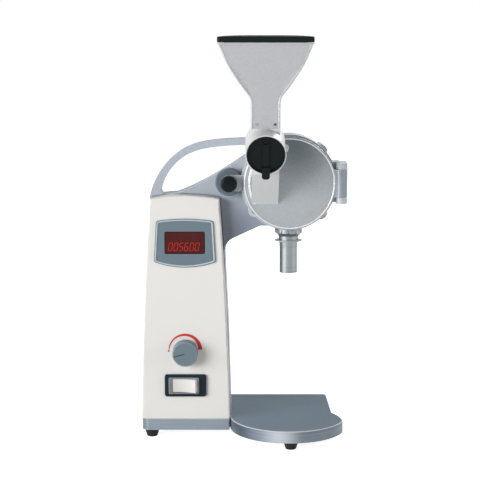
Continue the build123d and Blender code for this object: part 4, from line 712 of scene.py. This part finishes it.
# ------------------------ mains switch
# A dark moulded housing with a clear guard frame round a glossy white rocker.
switch_plastic = finish("switch_plastic", (36, 48, 54), (24, 34, 40), rough=0.42,
                        grain_scale=2500.0, gloss=0.06)
# A paler copy on the rounded edges: a painted highlight.
switch_edge_highlight = finish("switch_edge_highlight", (84, 98, 106), (62, 76, 84), rough=0.3, grain_scale=2500.0)
eased("switch_housing", 0.4, switch_plastic, switch_edge_highlight)
guard_clear = finish("guard_clear", (150, 160, 166), (128, 138, 146), rough=0.12, relief=0.0)
guard_shader = guard_clear.node_tree.nodes["Principled BSDF"]
guard_shader.inputs["Transmission Weight"].default_value = 0.45
# A paler copy on the guard's rounded edges: a painted highlight.
guard_edge_highlight = finish("guard_edge_highlight", (214, 220, 223), (196, 203, 207), rough=0.15, relief=0.0)
eased("rocker_guard", 0.35, guard_clear, guard_edge_highlight)
rocker_white = finish("rocker_white", (224, 222, 218), (214, 212, 208), rough=0.34,
                      cloud_scale=60.0, relief=0.000005, gloss=0.15)
ROCKER_PIVOT = (-126.4, -12.0, 66.6)
ROCKER_REACH = 15.9     # its ends are arcs about the pivot, so they keep clear of the housing
ROCKER_HALF = 8.25
ROCKER_MIDDLE = 4.8     # the front's distance from the pivot in the middle
ROCKER_DISH = 2.4       # and this much more at both ends
ROCKER_BACK = 2.0       # from the pivot to the flat back
ROCKER_EASE = 0.7       # radius of the edges
ROCKER_TILT = math.radians(11.0)


def rocker_rings():
    """The rocker's section, carried up and drawn in by an arc at both ends: a dished front whose
    distance from the pivot grows with the square of the share of its half width, ends that are
    arcs about the pivot, and a flat back; the whole is turned about the pivot by its tilt."""
    corner = ROCKER_MIDDLE + ROCKER_DISH
    half = math.sqrt(ROCKER_REACH ** 2 - corner ** 2)
    share = np.linspace(-1, 1, 25)
    turn = np.linspace(math.asin(corner / ROCKER_REACH), -math.asin(ROCKER_BACK / ROCKER_REACH), 9)
    end_x, end_y = ROCKER_REACH * np.cos(turn[1:]), -ROCKER_REACH * np.sin(turn[1:])
    x = np.concatenate((half * share, end_x, -end_x[::-1]))
    y = np.concatenate((-(ROCKER_MIDDLE + ROCKER_DISH * share ** 2), end_y, end_y[::-1]))
    edge = np.radians((90, 60, 30, 0, 0, 30, 60, 90))
    drawn = ROCKER_EASE * (1 - np.cos(edge))[:, None]
    side = np.array((-1, -1, -1, -1, 1, 1, 1, 1))
    level = side * (ROCKER_HALF - ROCKER_EASE + ROCKER_EASE * np.sin(edge))
    ring_x = x * (1 - drawn / ROCKER_REACH)
    ring_y = y + drawn * (y < 0)
    turned_x = ring_x * math.cos(ROCKER_TILT) + ring_y * math.sin(ROCKER_TILT)
    turned_y = -ring_x * math.sin(ROCKER_TILT) + ring_y * math.cos(ROCKER_TILT)
    return place(ROCKER_PIVOT[0] + turned_x, ROCKER_PIVOT[1] + turned_y,
                 ROCKER_PIVOT[2] + np.repeat(level[:, None], len(x), axis=1))


make_piece("rocker_cap", [shell(rocker_rings())], "rocker", rocker_white, replaces=True)


# ------------------------ mains inlet
# A black moulded inlet with three brass pins under a fuse drawer, in the rear cover.
black_plastic = finish("black_plastic", (7, 12, 13), (18, 25, 27), rough=0.38, grain=0.4,
                       grain_scale=2500.0, gloss=0.11)
# A paler copy on the rounded edges: a painted highlight.
black_edge_highlight = finish("black_edge_highlight", (34, 41, 44), (24, 31, 34), rough=0.26, grain_scale=2500.0,
                    gloss=0.45)
eased("mains_inlet", 0.3, black_plastic, black_edge_highlight)
eased("fuse_drawer", 0.3, black_plastic, black_edge_highlight)
brass = finish("contact_brass", (206, 172, 108), (176, 142, 86), rough=0.3, metallic=1.0)
dress(brass, "inlet_pins", "commutator")


# ------------------------ chamber housing
# A round aluminium bowl with four screw lugs, bead blasted all over.  Blasting leaves a dull,
# slightly cloudy skin; its edges carry a painted highlight in a paler copy of the finish.
CHAMBER_HEIGHT = 316.6      # of its axis, which meets the outlet's
LUG_TURNS = np.radians((45, 135, 220, 316))
LUG_ORBIT = 53.5
LUG_SEAT = -7.0
lug_screws = [(LUG_ORBIT * math.cos(turn), LUG_SEAT, CHAMBER_HEIGHT + LUG_ORBIT * math.sin(turn))
              for turn in LUG_TURNS]
blasted = finish("blasted_aluminium", (200, 203, 205), (166, 171, 174), rough=0.5, cloud=0.5,
                 cloud_scale=30.0, grain=0.5, grain_scale=900.0, relief=0.00005, metallic=0.15,
                 gloss=0.5)
# A paler copy on the rounded edges of the blasted parts and on the door's rim: a painted
# highlight.
blasted_edge_highlight = finish("blasted_edge_highlight", (226, 228, 230), (190, 194, 198), rough=0.3, cloud=0.6,
                      cloud_scale=60.0, metallic=0.6)
eased("chamber_housing", 0.8, blasted, blasted_edge_highlight)
socket_screws("chamber_cap_screws", "chamber_screws", lug_screws, (0, -1, 0),
              shank_r=1.95, shank=40.0, head_r=3.8, head=3.5)


# ------------------------ hinge
# A machined bracket with two ears, a steel pin and two cap screws.
eased("hinge_bracket", 0.6, blasted, blasted_edge_highlight)
HINGE_SEAT = (66.4, 2.0)
HINGE_SPACING = 37.0
hinge_screws = [(*HINGE_SEAT, CHAMBER_HEIGHT + side * HINGE_SPACING / 2) for side in (1, -1)]
socket_screws("hinge_cap_screws", "hinge_screws", hinge_screws, (1, 0, 0),
              shank_r=1.95, shank=13.0, head_r=3.8, head=2.7)


# ------------------------ door
# A cast and face-turned door: turning leaves fine rings on the face inside its rim, which
# carries a painted highlight in a paler edge finish.
door_metal = finish("door_metal", (184, 189, 192), (134, 141, 147), rough=0.45, cloud=0.25,
                    cloud_scale=26.0, grain=0.65, grain_scale=620.0, relief=0.00008, metallic=0.2)
# Painted shade: the face is darker above its middle, where the valve in front of it shades it.
painted_light_patch(door_metal, (6.0, -25.5, 362.0), 54.0, (172, 180, 186), 1.0)
door = eased("door", 0.6, door_metal, blasted_edge_highlight, steps=3)
hinge_metal = finish("hinge_metal", (150, 158, 166), (130, 139, 148), rough=0.42, cloud_scale=60.0,
                     grain=0.5, grain_scale=900.0, relief=0.00004, metallic=0.15)
door.data.materials.append(hinge_metal)
KNUCKLE_FROM = 57.5     # right of the axis: the ear and the knuckle of the hinge begin
RIM_FRONT = -25.8       # the rim, with its painted highlight, lies in front of this
RIM_HIGHLIGHT, HINGE = 1, 2    # numbers of the materials, after the turned face's
middles = np.array([polygon.center for polygon in door.data.polygons])
knuckle = middles[:, 0] > outlet_x + KNUCKLE_FROM / 1000
door.data.polygons.foreach_set("material_index", np.select(
    [knuckle, middles[:, 1] < outlet_y + RIM_FRONT / 1000], [HINGE, RIM_HIGHLIGHT], 0))
dress(foot_rubber, "door_seal", "shaft_seal", "valve_o_ring")


# ------------------------ feed housing
# The tilted valve barrel with its chute, cast in one piece and blasted like the chamber.
# A paler copy of the chamber's blasted finish: painted light, for faces that lean towards the
# bright floor.
housing_painted_lit = finish("housing_painted_lit", (224, 224, 224), (190, 193, 195), rough=0.36, cloud=0.3,
                       cloud_scale=30.0, grain=0.5, grain_scale=900.0, relief=0.00005,
                       metallic=0.15, gloss=0.5)
eased("feed_housing", 0.8, housing_painted_lit, blasted_edge_highlight, steps=3)


# ------------------------ feed valve
# A black moulded knob with a ridge to grip and a pointer, screwed to the turned steel plug.
eased("feed_knob", 0.35, black_plastic, black_edge_highlight)
turned_steel = finish("turned_steel", (186, 189, 192), (150, 154, 158), rough=0.3,
                      cloud_scale=120.0, grain=0.6, relief=0.00001, metallic=0.85)
dress(turned_steel, "valve_plug", "latch_stud", "latch_collar", "hinge_pin", "rotor", "rotor_nut",
      "motor_shaft", "front_bearing", "rear_bearing", "speed_shaft")


# ------------------------ latch
# A serrated black knob draws the door shut through a stud; a plunger tells the switch.
grip_black = finish("grip_black", (8, 13, 15), (18, 24, 27), rough=0.22, grain_scale=2500.0,
                    relief=0.00001, gloss=0.12)
grip_low, grip_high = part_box("latch_knob")
grip_back = ((grip_low.x + grip_high.x) / 2, grip_high.y, (grip_low.z + grip_high.z) / 2)
GRIP_T = (grip_high.y - grip_low.y) * 1000
GRIP_TEETH = 24
GRIP_AROUND = 8 * GRIP_TEETH
STUD_HOLE = 3.0
STUD_DEEP = 0.75 * GRIP_T
# Radius, distance from its back and depth of the teeth: the stud's hole, the grip, the crown.
GRIP_PROFILE = ((0.02, STUD_DEEP, 0), (STUD_HOLE, STUD_DEEP, 0), (STUD_HOLE, 0, 0), (9.2, 0, 0.9),
                (10, 0.6, 1.1), (10, GRIP_T - 4, 1.1), (9.9, GRIP_T - 2.6, 0.9),
                (9.5, GRIP_T - 1.6, 0.55), (8.8, GRIP_T - 0.9, 0.2), (7.6, GRIP_T - 0.45, 0),
                (5.5, GRIP_T - 0.18, 0), (3, GRIP_T - 0.05, 0), (0.02, GRIP_T, 0))
grip_rings = turned([step[:2] for step in GRIP_PROFILE], grip_back, (0, -1, 0), GRIP_AROUND,
                    teeth=(GRIP_TEETH, [step[2] for step in GRIP_PROFILE]))
make_piece("latch_grip", [shell(grip_rings)], "latch_knob", grip_black, replaces=True, sharp=50)
dress(black_plastic, "interlock_plunger", "brush_caps", "cooling_fan", "brush_holders",
      "interlock_switch", "display_module", "speed_pot")


# ------------------------ hopper
# A funnel folded from 1.2 mm stainless sheet with rounded corners and a turned-over hem under
# the lid, pushed over the spigot and held by two grub screws.  The sheet is brushed level.
FEED_X = -29.4
FEED_RING = (-85.0, 355.7)
FEED_TILT = math.radians(13.0)
FEED_RADIUS = 23.6
NECK_HALF = 17.15
NECK_FRONT = -64.0
NECK_DEPTH = 28.0
NECK_LOW = 384.6
NECK_TOP = 414.0
FUNNEL_HALF = 55.7
FUNNEL_DEPTH = 70.0
FUNNEL_TOP = 483.6
SHEET = 1.2
HEM_HIGH = 2.6
HEM_PROUD = 0.5
LIP_STEPS = (0.3, 0.7, 1.2)     # across the raised lip, from where the corner ends
LIP_HIGH = 0.7
LIP_WIDE = 1.7          # the raised edge of a side sheet beside the front sheet
LIP_SLOPE = 0.6
SEAT_ROOM = 0.05        # between the neck and the ring that it stands on
# Sides as (share of the height, share of the widening).
FUNNEL_SIDES = ((0, 0), (0.098, 0.040), (0.237, 0.227), (0.417, 0.460), (0.632, 0.702), (1, 1))


def smooth_through(points, where):
    """A smooth curve through given points: between two of them a cubic that leaves and arrives
    with the slopes of the lines through their neighbours (Hermite form)."""
    x, y = np.array(points, float).T
    slope = np.gradient(y, x)
    slope[0] = 0.3 * slope[0]
    piece = np.clip(np.searchsorted(x, where, side="right") - 1, 0, len(x) - 2)
    span = x[piece + 1] - x[piece]
    t = (where - x[piece]) / span
    return ((2 * t**3 - 3 * t**2 + 1) * y[piece] + (t**3 - 2 * t**2 + t) * span * slope[piece]
            + (3 * t**2 - 2 * t**3) * y[piece + 1] + (t**3 - t**2) * span * slope[piece + 1])


def rounded_rectangle(half, front, back, radius, on_corner=7, on_side=9):
    """Points round a rectangle with rounded corners, counter-clockwise from above: each corner
    is a quarter circle; each side has three points close to both ends, where its lip runs, and
    the rest evenly between.  All sizes may be arrays (ring, 1)."""
    quarter = np.linspace(0, math.pi / 2, on_corner)
    evenly = np.linspace(0.1, 0.9, on_side)
    half, front, back, radius = (np.asarray(value, float) for value in (half, front, back, radius))
    corners = []
    for side, deep, start in ((1, front + radius, -0.5), (1, back - radius, 0),
                              (-1, back - radius, 0.5), (-1, front + radius, 1)):
        turn = quarter + start * math.pi
        corners.append((side * (half - radius) + radius * np.cos(turn),
                        deep + radius * np.sin(turn)))
    x_parts, y_parts = [], []
    for number, (x, y) in enumerate(corners):
        next_x, next_y = corners[(number + 1) % 4]
        step_x, step_y = next_x[..., :1] - x[..., -1:], next_y[..., :1] - y[..., -1:]
        lips = np.array(LIP_STEPS) / np.hypot(step_x, step_y)
        share = np.concatenate((lips, np.broadcast_to(evenly, lips.shape[:-1] + evenly.shape),
                                1 - lips[..., ::-1]), axis=-1)
        x_parts += [x, x[..., -1:] + step_x * share]
        y_parts += [y, y[..., -1:] + step_y * share]
    return np.concatenate(x_parts, axis=-1), np.concatenate(y_parts, axis=-1)


def funnel_rings(shrink, heights, flare=0.0):
    """Rings of the funnel's skin, set in from the outside by shrink: up to the neck's top a
    rectangle of constant size; above it the half width follows the curve of the sides and the
    back leans away evenly.  The front sheet lies a little behind the edges of the side sheets."""
    share = np.clip((heights - NECK_TOP) / (FUNNEL_TOP - NECK_TOP), 0, 1)[:, None]
    widened = (FUNNEL_HALF - NECK_HALF) * smooth_through(FUNNEL_SIDES, share)
    half = NECK_HALF + widened - shrink + flare
    back = NECK_FRONT + NECK_DEPTH + (FUNNEL_DEPTH - NECK_DEPTH) * share - shrink + flare
    front = np.full_like(share, NECK_FRONT + shrink - flare)
    x, y = rounded_rectangle(half, front, back, 1.2 + 0.6 * share - 0.3 * shrink)
    inner = np.clip((half - np.abs(x) - LIP_WIDE) / LIP_SLOPE, 0, 1)
    y = y + LIP_HIGH * inner * (y < front + 0.01) * (shrink == 0) * (flare == 0)
    z = np.repeat(heights[:, None], x.shape[1], axis=1)
    crest = FEED_RADIUS ** 2 - np.clip(np.abs(x), 0, FEED_RADIUS) ** 2
    leaned = (y - FEED_RING[0]) * math.sin(FEED_TILT)
    seat = FEED_RING[1] + (np.sqrt(crest) + leaned) / math.cos(FEED_TILT)
    return place(FEED_X + x, y, np.maximum(z, seat + SEAT_ROOM))


side_heights = NECK_TOP + (FUNNEL_TOP - NECK_TOP) * np.linspace(0, 1, 30)
up_neck = np.linspace(NECK_LOW, NECK_TOP, 12)[:-1]
below_hem = side_heights[side_heights < FUNNEL_TOP - HEM_HIGH - 0.4]
outside = funnel_rings(0.0, np.concatenate((up_neck, below_hem, [FUNNEL_TOP - HEM_HIGH - 0.3])))
hem = np.concatenate([funnel_rings(0.0, np.array([FUNNEL_TOP - drop]), out) for drop, out in
                      ((HEM_HIGH, 0.6 * HEM_PROUD), (HEM_HIGH - 0.5, HEM_PROUD), (0.5, HEM_PROUD),
                       (0.0, 0.4 * HEM_PROUD))])
inside = funnel_rings(SHEET, np.concatenate((up_neck, side_heights))[::-1])
brushed_sheet = finish("brushed_sheet", (193, 194, 196), (152, 155, 159), rough=0.42, cloud=0.3,
                       grain=0.5, grain_scale=760.0, stretch=(0.3, 0.3, 1.0), relief=0.00001,
                       metallic=0.3)
make_piece("hopper_funnel", [shell(np.concatenate((outside, hem, inside)), loop=True)],
           "hopper", brushed_sheet, replaces=True, sharp=40)
dress(brushed_sheet, "sieve_ring")

GRUB_ASIDE = 11.0       # from the neck's middle
GRUB_UP = 5.0           # from its lower end
GRUB_PROFILE = ((1.4, -3.0), (1.4, 0.5), (1.2, 0.6), (0.8, 0.6), (0.7, 0.5), (0.7, -1.2),
                (0.02, -1.3))
grub_seats = [place(FEED_X + side * GRUB_ASIDE, NECK_FRONT, NECK_LOW + GRUB_UP)
              for side in (1, -1)]
make_piece("neck_screws", [shell(turned(GRUB_PROFILE, seat, (0, -1, 0), 24, socket_from=4))
                           for seat in grub_seats],
           "hopper_grub_screws", pointer_dark, brushed_sheet, picks=(0, 1), replaces=True)


# ------------------------ hopper lid
# A black moulded lid with a crowned top, rounded ends and a step that drops into the funnel.
LID_LOW = 483.9
LID_THICK = 8.2
LID_LAP = 0.6
LID_STEP_IN = 7.2
LID_STEP = 6.0
LID_CORNER = 3.4        # radius of its corners in plan, at the funnel's outline
LID_SHARP = 1.2         # least radius of the step's corners
LID_EDGE = 0.62         # share of the thickness up to which the edge is upright
LID_SHOULDER = 0.2      # and of the rounding above it


def lid_rings():
    """Rings of the lid from the step's underside, out along the lap and over the top: towards
    the middle the outline shrinks evenly while the height grows as 1 minus share to the 4th."""
    grow = [-LID_STEP_IN - 0.5, -LID_STEP_IN, -LID_STEP_IN, LID_LAP - 0.6, LID_LAP, LID_LAP]
    level = [-LID_STEP, 0.5 - LID_STEP, 0.0, 0.0, 0.6, LID_EDGE * LID_THICK]
    crown = np.radians((18, 36, 54, 72))
    grow += list(LID_LAP - 1.6 * (1 - np.cos(crown)))
    level += list(LID_THICK * (LID_EDGE + LID_SHOULDER * np.sin(crown)))
    rings = []
    for out, up in zip(grow, level):
        x, y = rounded_rectangle(FUNNEL_HALF + out, NECK_FRONT - out,
                                 NECK_FRONT + FUNNEL_DEPTH + out, max(LID_SHARP, LID_CORNER + out))
        rings.append(np.stack((x, y, np.full_like(x, up)), axis=-1))
    edge = rings[-1]
    middle = np.array((0, NECK_FRONT + FUNNEL_DEPTH / 2))
    for share in (0.97, 0.93, 0.87, 0.78, 0.65, 0.5, 0.34, 0.18, 0.03):
        top = edge.copy()
        top[:, :2] = middle + share * (edge[:, :2] - middle)
        top[:, 2] = edge[0, 2] + (LID_THICK - edge[0, 2]) * (1 - share ** 4)
        rings.append(top)
    rings = np.stack(rings)
    return place(FEED_X + rings[..., 0], rings[..., 1], LID_LOW + rings[..., 2])


lid_black = finish("lid_black", (8, 14, 16), (18, 26, 29), rough=0.6, cloud=0.6, cloud_scale=20.0,
                   grain=0.4, grain_scale=2000.0, gloss=0.12)
make_piece("lid_cap", [shell(lid_rings())], "hopper_lid", lid_black, replaces=True, sharp=45)


# ------------------------ outlet
# A turned steel tube in a flanged collar with a film washer, held by a notched ring nut.
nut_steel = finish("nut_steel", (158, 162, 165), (104, 109, 113), rough=0.34, cloud_scale=200.0,
                   cloud=0.5, grain=0.6, relief=0.00001, metallic=0.8,
                   turned_about=((outlet_x, outlet_y, 0.0), "Z"))
# A paler copy on the rounded edges: a painted highlight.
steel_edge_highlight = finish("steel_edge_highlight", (230, 232, 233), (196, 199, 202), rough=0.24, metallic=0.8)
for node, width in (("outlet_nut", 0.35), ("outlet_collar", 0.3), ("outlet_tube", 0.4)):
    eased(node, width, nut_steel, steel_edge_highlight)
washer_film = finish("washer_film", (206, 211, 214), (196, 202, 206), rough=0.3, relief=0.0)
washer_film.node_tree.nodes["Principled BSDF"].inputs["Transmission Weight"].default_value = 0.35
dress(washer_film, "outlet_washer")


# ------------------------ motor
# A drawn and painted housing behind the chamber with a ventilated end cap, and inside it the
# stacked iron, the commutator and the brushes.
motor_paint = finish("motor_paint", (104, 110, 116), (90, 96, 102), rough=0.42, grain_scale=900.0,
                     relief=0.00003)
# A paler copy on the rounded edges: a painted highlight.
motor_edge_highlight = finish("motor_edge_highlight", (150, 156, 162), (120, 126, 132), rough=0.34)
eased("motor_housing", 0.6, motor_paint, motor_edge_highlight)
eased("motor_end_cap", 0.5, motor_paint, motor_edge_highlight)
iron = finish("motor_iron", (92, 92, 95), (66, 66, 69), rough=0.5, stretch=(0.1, 1, 0.1),
              metallic=0.6)
dress(iron, "motor_stator", "armature")
board = finish("board_green", (40, 110, 70), (30, 90, 58))
dress(board, "control_board")
dress(screw_steel, "foot_screws", "valve_screw")
